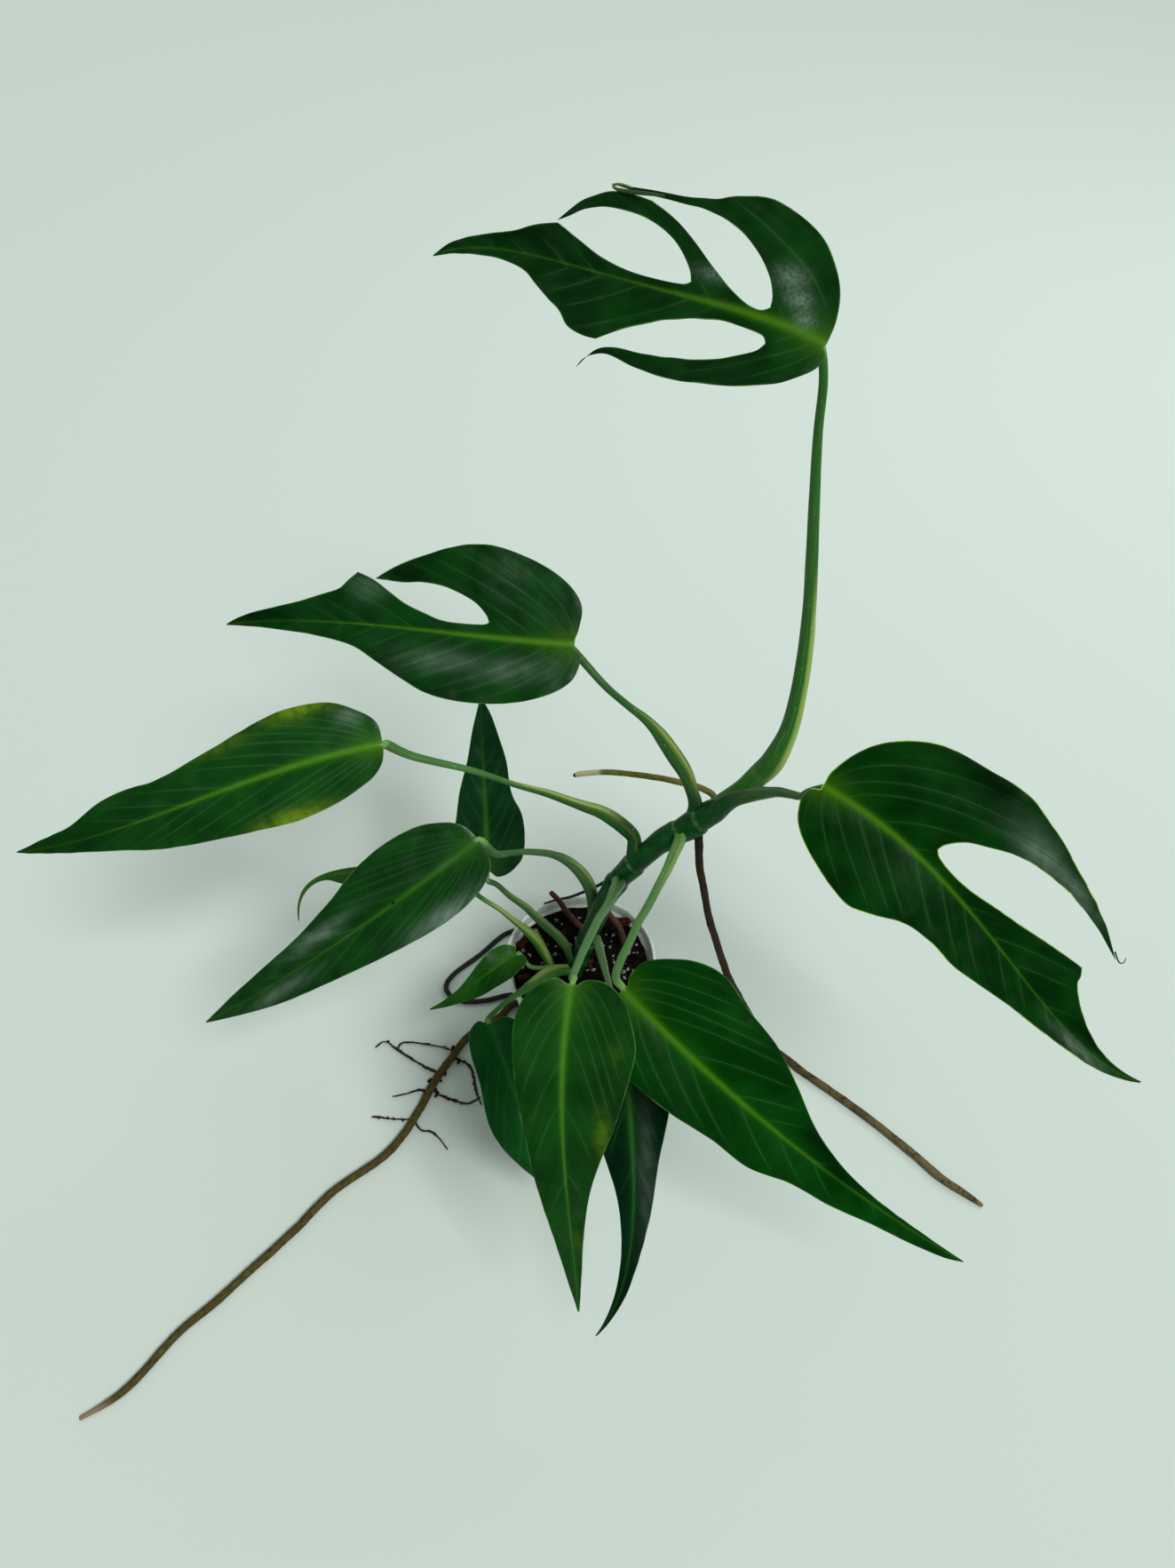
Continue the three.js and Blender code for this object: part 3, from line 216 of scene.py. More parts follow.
# A petiole's channel faces its groove direction, and its sheath ends at a share of its length, below 0 where
# it has none. It has painted light, a pale yellow-green on the side that faces "side", beyond "from" and up
# to the share "until". Its tone goes from dark to grey-green, and changes by "far" towards the blade. "warm"
# is how yellow a green it is, "base" how many millimetres are dark at its foot, in a vee on one leaf, and
# "dry" how brown the edge of its sheath is. "ring" is where it has a thin pale ring, "foot" how much stouter
# its foot is and over how many millimetres, and "thick" how much stouter its far half is. A hidden one ends
# well under its blade.
PETIOLES = {
    "a": {
        "path": [(73, 7, 238, 4), (82, 11, 247, 4.2), (92, 14, 254, 4.8), (98, 14, 261, 5.4),
            (105, 15, 270, 6.4), (113, 17, 282, 6.6), (120, 23, 301, 5.3), (123, 30, 323, 4.7),
            (124, 36, 344, 4.4), (124, 44, 370, 4), (122, 51, 399, 3.5), (119, 58, 434, 2.8),
            (116, 62, 468, 2.2), (114.5, 63, 495, 2)],
        "groove": (1, -0.2, 0), "sheath": 0.5, "side": (1, -0.1, 0), "from": 0.2, "pale": 1, "until": 0.46,
        "tone": 0.12, "warm": 0.75, "base": 12, "ring": 48, "foot": (0.1, 40), "thick": 0.15,
        "hidden": True,
    },
    "b": {
        "path": [(63, 5, 228, 3.4), (68, 9, 234, 3.6), (70, 13, 243, 3.6), (67, 16, 255, 3.8),
            (63, 19, 266, 4.2), (57, 21, 277, 4.6), (49, 24, 290, 4.1), (44, 25, 298, 3.3),
            (37, 27, 306, 2.5), (27, 28, 316, 2), (14, 31, 329, 1.8)],
        "groove": (0.8, 0, 0.6), "sheath": 0.6, "side": (0.9, -0.2, 0.3), "from": 0.65, "pale": 0.9,
        "until": 0.5, "tone": 0.12, "warm": 0.3, "base": 44, "dry": 0.8, "foot": (0.5, 30), "thick": 0.3,
        "hidden": True,
    },
    "c": {
        "path": [(34, 3, 203, 3.8), (34, 6, 211, 3.9), (33, 9, 218, 4.1), (28, 11, 224, 4.4),
            (20, 13, 231, 4.3), (12, 14, 237, 3.8), (3, 13, 243, 3.2), (-6, 13, 248, 2.7),
            (-20, 13, 256, 2.3), (-38, 12, 265, 1.8), (-63, 12, 278, 1.7), (-94, 11, 291, 1.8)],
        "groove": (0.5, 0, 0.9), "sheath": 0.45, "side": (0.4, 0.1, 0.9), "from": 0.7, "pale": 0.8,
        "until": 0.45, "tone": 0.08, "far": 0.5, "warm": 0.3, "base": 48, "dry": 1, "foot": (0.3, 16),
        "thick": 0.35, "swell": 1.2,
    },
    "d": {
        "path": [(69, 5.5, 234, 4.5), (80, 4.5, 246, 5), (86, 4, 256, 4.9), (91, 2.5, 263, 4.5),
            (97, -1, 270, 4.1), (104, -8, 281, 3.6), (110, -16, 292, 3), (115, -25, 301, 2.5),
            (119, -33, 309, 2.2), (121.5, -37, 318, 2)],
        "groove": (-0.3, 0.6, 0.7), "sheath": 0.5, "side": (0.3, -0.3, 0.9), "from": 0.6, "pale": 0.1,
        "until": 0.9, "tone": 0.3, "warm": 0.2, "base": 60, "foot": (0.2, 46), "hidden": True,
    },
    "e": {
        "path": [(4, -1, 106, 3.6), (7, 2, 118, 4.1), (8, 3.5, 131, 4.1), (9, 4.5, 145, 4.1),
            (8, 5.5, 159, 4), (5, 6, 173, 4), (-1, 5.5, 188, 3.6), (-8, 4, 200, 3), (-17, 1, 211, 2.4),
            (-30, -6, 223, 2.1), (-40, -13.5, 232, 2), (-49, -20.5, 240.5, 2.5)],
        "groove": (0.7, 0, 0.7), "sheath": 0.6, "side": (0.9, 0.1, 0.4), "from": 0.7, "pale": 0.5,
        "until": 0.45, "tone": 0.3, "base": 50, "foot": (0.35, 26), "thick": -0.1, "knee": False,
    },
    "f": {
        "path": [(-4.5, -7.5, 88, 2.9), (-6, -7, 101, 3), (-9, -5, 112, 3), (-14, -4, 123, 3),
            (-21, -3, 134, 3), (-29, -2, 146, 2.8), (-36, -1, 157, 2.5), (-45, 0, 167, 2.2),
            (-53, 2, 177, 2)],
        "groove": (0.6, 0, 0.8), "sheath": 0.5, "side": (0.5, 0, 0.8), "from": 0.6, "pale": 0.25,
        "until": 0.7, "tone": 0.2, "base": 24, "thick": -0.12,
    },
    "g": {
        "path": [(-20, -5, 72, 2.9), (-21, -3, 82, 3.1), (-23, -1, 91, 3.1), (-27, 2, 101, 3.4),
            (-31, 4, 110, 3.6), (-38, 6, 119, 2.7), (-46, 8, 128, 2), (-54, 10, 137, 1.8),
            (-65, 13, 145, 1.8)],
        "groove": (0.6, 0, 0.8), "sheath": 0.55, "side": (0.4, -0.2, 0.9), "from": 0.4, "pale": 0.75,
        "until": 0.7, "tone": 0.25, "warm": 0.5, "base": 8, "thick": -0.12,
    },
    "h": {
        "path": [(-5, -8, 91, 1.5), (-13, -8.5, 94, 1.5), (-21, -12.5, 100, 1.5), (-28, -18, 108, 1.5),
            (-34, -20.5, 115, 1.4)],
        "groove": (0.3, 0, 0.9), "sheath": -1, "side": (0, 0, 1), "from": 0, "pale": 0.2, "until": 0.9,
        "tone": 0.8, "base": 0.1,
    },
    "i": {
        "path": [(25, -1, 187, 3.6), (24, -9, 193, 4.1), (21, -21, 201, 3.5), (17, -37, 211, 2.8),
            (12, -52, 221, 2.5), (8, -68, 232, 2.4), (2, -93, 248, 2.2), (-1, -108, 258, 2),
            (-3, -117, 264, 1.9)],
        "groove": (0, -0.6, 0.8), "sheath": 0.25, "side": (-0.3, -0.5, 0.8), "from": 0.5, "pale": 0.2,
        "until": 0.5, "tone": 0.65, "base": 14, "vee": True,
    },
    "j": {
        "path": [(62, 6, 229, 3.2), (60, -5, 232, 3.6), (56, -17, 235, 3.2), (51, -31, 238, 2.8),
            (45, -45, 241, 2.5), (39, -59, 243, 2.4), (33, -72, 246, 2.3), (28, -85, 247, 2.3),
            (23, -97, 248, 2.3), (20, -107, 247, 2.3)],
        "groove": (-0.3, -0.4, 0.9), "sheath": 0.4, "side": (0.6, -0.3, 0.8), "from": 0.3, "pale": 0.35,
        "until": 0.3, "tone": 0.65, "warm": 0.2, "base": 0.1, "knee": False,
    },
    "k": {
        "path": [(6, -4, 121, 2.4), (11, -13, 136, 2.9), (13, -30, 149, 2.7), (15, -49, 164, 2.3),
            (17, -65, 176, 2), (19, -82, 189, 1.8), (23, -94, 197, 1.8)],
        "groove": (0.9, 0, 0.4), "sheath": 0.55, "side": (0, -0.3, 0.9), "from": 0.5, "pale": 0.3,
        "until": 0.9, "tone": 0.75, "base": 0.1,
    },
    "l": {
        "path": [(-3, -8, 88, 3.4), (-13, -14, 98, 3.7), (-22, -23, 107, 4.4), (-30, -33, 114, 3.6),
            (-38, -43, 120, 2.5), (-45, -51, 125, 1.7), (-52, -60, 128, 1.6)],
        "groove": (-0.2, 0, 1), "sheath": 0.55, "side": (-0.3, 0.4, 0.8), "from": 0.45, "pale": 0.7,
        "until": 0.4, "tone": 0.45, "warm": 0.6, "base": 0.1,
    },
}

ROOTS = {
    "long_left": [(-30, 10, 8, 2.6), (-38, 12.5, 7.2, 2.8), (-44, 14, 5.6, 3), (-53, 12, 3.6, 3.2),
        (-63, 1, 3.4, 3.3), (-84, -14, 3.4, 3.3), (-95, -31, 3.4, 3.3), (-106, -50, 3.4, 3.4),
        (-115, -71, 3.4, 3.3), (-124, -89, 3.4, 3.3), (-138, -107, 3.4, 3.2), (-169, -131, 3.3, 3.2),
        (-191, -157, 3.3, 3.2), (-216, -183, 3.2, 3.1), (-235, -203, 3.2, 3.1), (-254, -221, 3.1, 3),
        (-279, -253, 2.8, 2.7), (-303, -269, 1.8, 1.4)],
    "rim_left": [(25, 4, 188, 1.8), (18, 10, 171, 1.6), (11, 15, 157, 1.5), (1, 25, 135, 1.5),
        (-8, 36, 113.5, 1.3), (-18, 44.5, 97.5, 1.1), (-26.5, 44, 93.4, 0.9)],
    "floor_loop": [(-6, 36, 6, 2), (-10, 43, 4, 2.4), (-24, 66, 2.7, 2.6), (-42, 80, 2.7, 2.6),
        (-60, 77, 2.7, 2.6), (-80, 57, 2.7, 2.6), (-98, 41, 2.7, 2.6), (-104, 30, 2.7, 2.6),
        (-100, 21, 2.7, 2.6), (-89, 16, 2.7, 2.6), (-72, 17, 2.8, 2.7), (-56, 21, 3.6, 2.6),
        (-41, 20.4, 5.6, 2.1), (-30, 17, 7, 2)],
    "long_right": [(72, 5, 235, 2.9), (73, 1, 221, 2.6), (75, 0, 200, 2.5), (79, -2, 179, 2.4),
        (82, -4, 162, 2.4), (86, -6, 144, 2.5), (91, -8, 126, 2.5), (97, -11, 105, 2.6),
        (104, -14, 84, 2.6), (122, -20, 43, 2.7), (138, -26, 13, 2.7), (151, -32, 3.6, 2.7),
        (163, -43, 2.8, 2.7), (178, -55, 2.8, 2.7), (206, -79, 2.8, 2.7), (233, -105, 2.8, 2.7),
        (248, -121, 2.8, 2.7), (264, -133, 2.3, 2.1), (273, -140, 1.5, 1.3)],
    "back_left": [(79, 11, 241, 1.7), (82, 19, 241.5, 1.5), (80, 25, 241, 1.5), (72, 31, 240, 1.4),
        (62, 36, 238, 1.4), (49, 43, 234, 1.4), (27, 52, 228, 1.4), (13, 57, 223, 1.4), (1, 60, 218, 1.3),
        (-4, 61, 215, 1)],
    "stub_back": [(9, 22, 76, 2), (3, 25, 88, 2), (-2, 27, 93, 2.1), (-9, 31, 101, 2), (-15, 35, 110, 1.9),
        (-21, 37.5, 117.5, 1.8)],
    "stub_right": [(13, 0, 150, 2), (17, 9, 138, 2), (22, 12, 123, 2.1), (27, 13, 110, 2.1),
        (30, 14, 93, 2.2), (32, 14, 76, 2)],
}

ROOTLETS = [
    [(-92, -27, 3, 1), (-103, -22, 1.8, 0.9), (-117, -19, 1.4, 0.9), (-132, -18, 1.2, 0.8),
        (-136, -23, 1, 0.7)],
    [(-103, -44, 3, 1.1), (-116, -37, 1.8, 1), (-127, -30, 1.5, 0.9), (-137, -23, 1.3, 0.9),
        (-146, -17, 1.2, 0.8), (-153, -22, 1, 0.7)],
    [(-110, -57, 3, 1), (-118, -56, 1.8, 0.9), (-127, -59, 1.3, 0.8), (-136, -61, 1, 0.7)],
    [(-119, -79, 3, 1), (-134, -78, 1.6, 0.9), (-149, -76, 1, 0.7)],
    [(-95, -31, 3, 1.1), (-84, -35, 1.8, 1), (-79, -42, 1.5, 1), (-76, -56, 1.3, 0.9), (-71, -67, 1, 0.7)],
    [(-108, -53, 3, 1), (-103, -59, 1.8, 1), (-91, -64, 1.4, 1), (-81, -66, 1.1, 0.9), (-72, -61, 1, 0.7)],
    [(-119, -78, 3, 1), (-113, -86, 1.6, 0.9), (-104, -88, 1.3, 0.9), (-93, -100, 1, 0.7)],
]


def spline(points, count, axes=3):
    """Points at even distances along the smooth curve through the given ones, and its length."""
    points = np.array(points, float)
    last = len(points) - 1
    t = np.linspace(0, last, 40 * last + 1)
    i = np.minimum(t.astype(int), last - 1)
    f = (t - i)[:, None]
    a, b, c, d = (points[np.clip(i + k, 0, last)] for k in (-1, 0, 1, 2))
    fine = b + 0.5 * f * (c - a + f * (2 * a - 5 * b + 4 * c - d + f * (3 * (b - c) + d - a)))
    run = np.concatenate([[0], np.cumsum(np.linalg.norm(np.diff(fine[:, :axes], axis=0), axis=1))])
    want = np.linspace(0, run[-1], count + 1)
    return np.stack([np.interp(want, run, column) for column in fine.T], axis=1), run[-1]


def spaced(points, step):
    """Points along a flat curve, about a step apart."""
    length = spline(points, 40, 2)[1]
    return spline(points, max(2, round(length / step)), 2)[0]


def unit(rows):
    return rows / np.linalg.norm(rows, axis=-1, keepdims=True)


def bump(x, width):
    """1 at zero, falling away smoothly over a width."""
    return np.exp(-((x / width) ** 2))


def ramp(x, low, high):
    """0 below low and 1 above high, smooth between them."""
    t = np.clip((x - low) / (high - low), 0, 1)
    return t * t * (3 - 2 * t)


def field(points, seed, depth):
    """Smooth noise about zero at each point."""
    shift = Vector((seed, 1.7 * seed, -0.6 * seed))
    return np.array([noise.fractal(Vector(p) + shift, 1, 2, depth) for p in points])


def add_marks(mesh, marks):
    """Gives a mesh its attributes, one value for each point, which the materials read."""
    for mark, values in marks.items():
        layer = mesh.attributes.new(mark, "FLOAT", "POINT")
        layer.data.foreach_set("value", np.asarray(values * np.ones(len(mesh.vertices)), np.float32))
    mesh.update()


def piece(name, points, faces):
    """A mesh object from points in millimetres."""
    mesh = bpy.data.meshes.new(name)
    mesh.from_pydata([tuple(p) for p in np.asarray(points) * MM], [], [tuple(f) for f in faces])
    mesh.update()
    made = bpy.data.objects.new(name, mesh)
    bpy.context.scene.collection.objects.link(made)
    return made


def pick(*pieces):
    """Selects these pieces alone, for the operators, and makes the first one active."""
    bpy.ops.object.select_all(action="DESELECT")
    for made in pieces:
        made.select_set(True)
    bpy.context.view_layer.objects.active = pieces[0]


def edit(made):
    pick(made)
    bpy.ops.object.mode_set(mode="EDIT")
    bpy.ops.mesh.select_all(action="SELECT")


def face_outwards(made):
    edit(made)
    bpy.ops.mesh.normals_make_consistent(inside=False)
    bpy.ops.object.mode_set(mode="OBJECT")


def smooth(made, degrees):
    """Shades a piece smooth, except where it turns more sharply than this."""
    pick(made)
    bpy.ops.object.shade_smooth_by_angle(angle=math.radians(degrees))


def fit(made, material, slot, *nodes):
    """Gives a finished piece its material, and puts it in the place of its CAD nodes. Its slot is not used.
    """
    made.data.materials.clear()
    made.data.materials.append(material)
    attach(made, "root")
    if nodes:
        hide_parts(*nodes)


def linear(code):
    """An sRGB hex colour as linear RGBA."""
    parts = [int(code[n:n + 2], 16) / 255 for n in (1, 3, 5)]
    return tuple(c / 12.92 if c <= 0.04045 else ((c + 0.055) / 1.055) ** 2.4 for c in parts) + (1.0,)


def add(tree, kind, links, **settings):
    """Adds a node. links sets its inputs, from values or from other nodes' outputs."""
    made = tree.nodes.new(kind)
    for key, value in settings.items():
        setattr(made, key, value)
    for key, value in links.items():
        if isinstance(value, Wire):
            tree.links.new(value.socket, made.inputs[key])
        else:
            made.inputs[key].default_value = value
    return made


class Wire:
    """A node's output. Arithmetic on it adds math nodes."""

    def __init__(self, socket):
        self.socket = socket
        self.tree = socket.id_data

    def math(self, operation, *values):
        return Wire(add(self.tree, "ShaderNodeMath", dict(enumerate(values)), operation=operation).outputs[0])

    def __add__(self, other):
        return self.math("ADD", self, other)

    def __sub__(self, other):
        return self.math("SUBTRACT", self, other)

    def __rsub__(self, other):
        return self.math("SUBTRACT", other, self)

    def __mul__(self, other):
        return self.math("MULTIPLY", self, other)

    def __truediv__(self, other):
        return self.math("DIVIDE", self, other)

    def __abs__(self):
        return self.math("ABSOLUTE", self)

    def hump(self, width):
        """1 where it is zero, falling off over a width, which may itself vary."""
        ratio = self / width
        return self.math("POWER", math.e, ratio * ratio * -1.0)

    def stretch(self, low, high, to_low=0.0, to_high=1.0):
        """Eases from one value to another while it goes from low to high."""
        links = {"Value": self, "From Min": low, "From Max": high, "To Min": to_low, "To Max": to_high}
        made = add(self.tree, "ShaderNodeMapRange", links, interpolation_type="SMOOTHSTEP")
        return Wire(made.outputs["Result"])

    def mix(self, first, second):
        """Goes from the first colour to the second as it goes from 0 to 1. Each is a hex code or a wire."""
        first, second = (linear(c) if isinstance(c, str) else c for c in (first, second))
        made = add(self.tree, "ShaderNodeMix", {"Factor": self, 6: first, 7: second}, data_type="RGBA")
        return Wire(made.outputs[2])


class Skin:
    """A material being made, with the marks and noises that its colour and relief are built from."""

    def __init__(self, name, roughness, specular=0.5, ior=1.42):
        self.material = bpy.data.materials.new(name)
        self.material.use_nodes = True
        self.tree = self.material.node_tree
        self.inputs = self.tree.nodes["Principled BSDF"].inputs
        self.inputs["Roughness"].default_value = roughness
        self.inputs["Specular IOR Level"].default_value = specular
        self.inputs["IOR"].default_value = ior
        self.place = Wire(add(self.tree, "ShaderNodeTexCoord", {}).outputs["Object"])

    def marks(self, *names):
        made = [add(self.tree, "ShaderNodeAttribute", {}, attribute_name=name) for name in names]
        return [Wire(node.outputs["Fac"]) for node in made]

    def grid(self, x, y, z=0.0):
        """A pattern's own coordinates, built from marks."""
        return Wire(add(self.tree, "ShaderNodeCombineXYZ", {0: x, 1: y, 2: z}).outputs[0])

    def noise_on(self, vector, scale, detail=2, roughness=0.5):
        links = {"Vector": vector, "Scale": scale, "Detail": detail, "Roughness": roughness}
        return Wire(add(self.tree, "ShaderNodeTexNoise", links).outputs["Fac"])

    def noise(self, size, detail=2, roughness=0.5):
        """Noise in Object coordinates, with features so many millimetres wide."""
        return self.noise_on(self.place, 1 / (size * MM), detail, roughness)

    def drive(self, name, value):
        self.tree.links.new(value.socket, self.inputs[name])

    def finish(self, colour, height, strength, depth):
        """Sets the colour and the relief, which is so many millimetres deep."""
        self.drive("Base Color", colour)
        links = {"Height": height, "Strength": strength, "Distance": depth * MM}
        self.drive("Normal", Wire(add(self.tree, "ShaderNodeBump", links).outputs[0]))
        return self.material


def leaf_skin(name, look):
    """Aroid leaf blade, live and waxed by its own cuticle: deep green with a soft broad sheen, partly painted
    on as pale grey highlights, painted shade where it folds away from the light, pale sunken veins, a lighter
    matt underside, and a thin translucent yellow line along the margin."""
    skin = Skin(name, 0.36)
    along, out, edge, core, vein, gap, under, reach = skin.marks(
        "along", "out", "edge", "core", "vein", "gap", "under", "reach")

    def patches(kind):
        """Soft ovals on the blade, each with what its row gives after its place and size."""
        for u, v, long, wide, *rest in look.get(kind, []):
            yield (along - u).hump(long) * (out - v).hump(wide), *rest

    share, far = along / reach, abs(out)
    mottling = skin.noise(26, 3).stretch(0.3, 0.72)
    # Fine side veins run between the main ones, about 2 mm apart.
    lane = skin.grid(vein * 9.0, far * 0.05)
    threads = skin.noise_on(lane, 1.0).stretch(0.35, 0.75)
    streaks = skin.noise_on(skin.grid(vein * 3.0, far * 0.05, along * 0.01), 1.0, 4, 0.6)
    sheen = streaks * 0.55 + skin.noise(10, 4, 0.65) * 0.45
    side = vein.math("PINGPONG", vein, 0.5) * gap
    fade = edge.stretch(1.0, 9.0) * share.stretch(0.55, 0.9, 1.0, 0.25)
    rib = side.hump(0.42) * fade
    colour = mottling.mix(look["deep"], look["mid"])
    colour = (threads * (0.1 * look["pleats"])).mix(colour, look["light"])
    colour = (side.hump(1.6) * fade * 0.08).mix(colour, look["light"])
    colour = (rib * look["ribs"]).mix(colour, look["rib"])
    # The midrib, widest and yellowest at the junction, with a soft glow either side.
    width = share.stretch(0.0, look["thins"], look["midrib"], 0.55)
    bright = share.stretch(0.1, look["fades"], 1.0, 0.3)
    colour = (far.hump(width * 2.6) * bright * 0.4).mix(colour, look["glow"])
    colour = (far.hump(width) * bright * 0.7).mix(colour, look["yellow"])
    colour = (along.hump(16.0) * far.hump(9.0) * 0.3).mix(colour, look["yellow"])
    wax = sheen.stretch(0.42, 0.66, 0.25 * look["wax"], look["wax"])
    # Painted shade: dark ovals where the blade folds or curls away from the light, with its specular dulled
    # there; on leaf E one small one is a dark spot of the leaf's own.
    for patch, amount in patches("shade"):
        dark = patch * amount
        colour = dark.mix(colour, "#011203")
        wax = wax * (1.0 - dark)
    for patch, amount in patches("aged"):
        colour = (patch * skin.noise(7, 3).stretch(0.2, 0.6, 0.0, amount)).mix(colour, "#6f900e")
    # Painted sheen: mottled pale grey ovals that stand in for the highlight where the blade catches the
    # light.
    for patch, amount, size in patches("painted_sheen"):
        mottle = skin.noise(size, 4, 0.65) if size else sheen
        colour = (patch * mottle.stretch(0.15, 0.8, 0.0, amount)).mix(colour, "#8fa596")
    line = edge.hump(0.35) * core.stretch(1.5, 4.0)
    some = skin.noise(16).stretch(0.4, 0.62, 0.15 * look["line"], look["line"])
    colour = (line * some).mix(colour, look["margin"])
    # The underside is paler and duller, and its veins stand out.
    back = mottling.mix("#2a5a2c", "#376a34")
    back = (rib * 0.7).mix(back, "#6c8f4c")
    back = far.hump(width * 1.2).mix(back, "#7c9a4c")
    shine = skin.noise(9, 4).stretch(0.3, 0.7, look["rough"] - 0.06, look["rough"] + 0.1)
    skin.drive("Roughness", Wire(add(skin.tree, "ShaderNodeMix", {0: under, 2: shine, 3: 0.6}).outputs[0]))
    skin.drive("Specular IOR Level", wax)
    # Low pleats along the side veins, and the cell bumps of the cuticle.
    pleat = skin.noise_on(lane, 0.8, 3, 0.6) * (0.7 * look["pleats"])
    return skin.finish(under.mix(colour, back), pleat + skin.noise(1.1, 3, 0.6) * 0.25, 0.25, 0.25)


def petiole_rind():
    """Aroid petiole, live: smooth satin rind, dark to grey-green, painted yellow-green as light where the
    light reaches it, with fine lengthwise streaks, and the papery edge of its sheath."""
    skin = Skin("petiole rind", 0.42, 0.22)
    turn, along, tone, warm, pale, base, knee, ring, rind = skin.marks(
        "turn", "along", "tone", "warm", "pale", "base", "knee", "ring", "rind")
    streak = skin.noise_on(skin.grid(turn * 3.2, along * 0.03), 1.6, 4, 0.6)
    colour = tone.mix("#08330c", "#5a854e")
    colour = streak.stretch(0.45, 0.75, 0.0, 0.2).mix(colour, "#86a672")
    colour = streak.stretch(0.5, 0.25, 0.0, 0.35).mix(colour, "#0f3d18")
    colour = warm.mix(colour, streak.mix("#174f0c", "#3c8a24"))
    # Painted light: yellow-green on the side of the petiole that faces the light.
    colour = pale.mix(colour, streak.mix("#6f9426", "#aac274"))
    colour = base.mix(colour, "#084016")
    colour = knee.mix(colour, "#6a944e")
    colour = (ring * 0.5).mix(colour, "#8aa85c")
    colour = (rind * 0.75).mix(colour, "#5f4c26")
    colour = (skin.noise(1.6).stretch(0.68, 0.76) * 0.35).mix(colour, "#b9c9a5")
    return skin.finish(colour, streak + skin.noise(0.8) * 0.3, 0.4, 0.3)


def stem_rind():
    """Green aroid stem: smooth, satin, dark bottle green, corky low down, with pale leaf scars."""
    skin = Skin("stem rind", 0.38, 0.15)
    turn, along, scar = skin.marks("turn", "along", "scar")
    streak = skin.noise_on(skin.grid(turn * 2.0, along * 0.06), 1.8, 4, 0.6)
    colour = streak.stretch(0.3, 0.7).mix("#033010", "#0a4816")
    colour = skin.noise(14).stretch(0.5, 0.75, 0.0, 0.4).mix(colour, "#1f5a2e")
    low = along.stretch(95.0, 60.0).stretch(0.0, 1.0, 0.15, 0.9)
    colour = (skin.noise(3, 4, 0.7).stretch(0.62, 0.72) * low).mix(colour, "#5d4c2c")
    colour = (scar * skin.noise(4, 3).stretch(0.3, 0.6) * 0.4).mix(colour, "#7c9a68")
    return skin.finish(colour, streak, 0.4, 0.4)


def root_bark(name, dark, light, spots, ends, tip_from=2.0, tip="#c9c08e", cap=2.0, low=None, blots=0.58):
    """Aerial root: a dull corky skin, wrinkled lengthwise and blotched, paler near a growing tip. The tip and
    its dark cap start at the shares tip_from and cap of its length, past 1 if it has none."""
    skin = Skin(name, 0.72, 0.2, 1.4)
    turn, along, share, fine = skin.marks("turn", "along", "share", "fine")
    wrinkle = skin.noise_on(skin.grid(turn * 1.6, along * 0.09), 2.4, 4, 0.65)
    colour = wrinkle.stretch(0.32, 0.7).mix(dark, light)
    if low:
        colour = share.stretch(0.55, 0.75, 0.0, 0.8).mix(colour, low)
    colour = (skin.noise(17).stretch(0.45, 0.65) * 0.5).mix(colour, ends)
    colour = (skin.noise(3.6, 4, 0.7).stretch(blots, blots + 0.1) * 0.7).mix(colour, spots)
    colour = share.stretch(tip_from, tip_from + 0.04).mix(colour, tip)
    colour = share.stretch(cap, cap + 0.01).mix(colour, "#15110d")
    # Painted shade: the first tenth of its length, where it starts among other parts, is darkened as if in
    # shadow.
    colour = share.stretch(0.1, 0.02, 0.0, 0.7).mix(colour, "#17110c")
    colour = (fine * 0.75).mix(colour, "#2b2018")
    return skin.finish(colour, wrinkle + skin.noise(0.9, 3) * 0.5, 0.7, 0.5)


def milky_plastic():
    """Nursery pot of moulded polypropylene, uncoloured: milky, slightly see-through, satin, with faint
    swirls from the moulding and soil dust near its foot."""
    skin = Skin("milky polypropylene", 0.38, ior=1.49)
    skin.inputs["Subsurface Weight"].default_value = 0.15
    skin.inputs["Subsurface Radius"].default_value = (3 * MM, 3 * MM, 3 * MM)
    swirl = skin.noise(22, 3)
    height = Wire(add(skin.tree, "ShaderNodeSeparateXYZ", {0: skin.place}).outputs[2])
    colour = swirl.stretch(0.3, 0.7).mix("#c2cfc2", "#d8e3d8")
    dust = height.stretch(70 * MM, 0.0) * skin.noise(5, 5, 0.7).stretch(0.45, 0.7)
    colour = (dust * 0.4).mix(colour, "#6f6553")
    # Soil shows faintly through the wall below its level, and stains it just above.
    shade = skin.noise(6, 4, 0.7).stretch(0.35, 0.65, 0.25, 0.6)
    colour = (height.stretch(85 * MM, 78 * MM) * shade).mix(colour, "#848c80")
    stain = height.stretch(84 * MM, 87 * MM, 0.0, 0.35) * skin.noise(4, 5, 0.7).stretch(0.48, 0.7)
    colour = stain.mix(colour, "#5c5a4a")
    return skin.finish(colour, swirl, 0.15, 0.5)


def earthy(name, dark, light, size, rough, bumpy=0.6):
    """Damp organic matter of the potting mix: matt, dark and fibrous, with paler dry flecks."""
    skin = Skin(name, rough, 0.08, 1.4)
    colour = skin.noise(size, 5, 0.7).stretch(0.4, 0.75).mix(dark, light)
    return skin.finish(colour, skin.noise(0.5 * size, 4, 0.7), bumpy, 0.6)


def pale_cloth():
    """The matt cloth that the plant stands on, one plain pale tone."""
    skin = Skin("pale cloth", 0.9, 0.2, 1.45)
    skin.inputs["Base Color"].default_value = linear("#c9d6ce")
    return skin.material


MARGIN_STEP, MIDRIB_STEP, GRID_STEP = 1.6, 2.0, 2.3


def bezier(controls, t):
    level = np.array(controls, float)[:, None, :] * np.ones((1, len(t), 1))
    while len(level) > 1:
        level = level[:-1] + (level[1:] - level[:-1]) * t[None, :, None]
    return level[0]


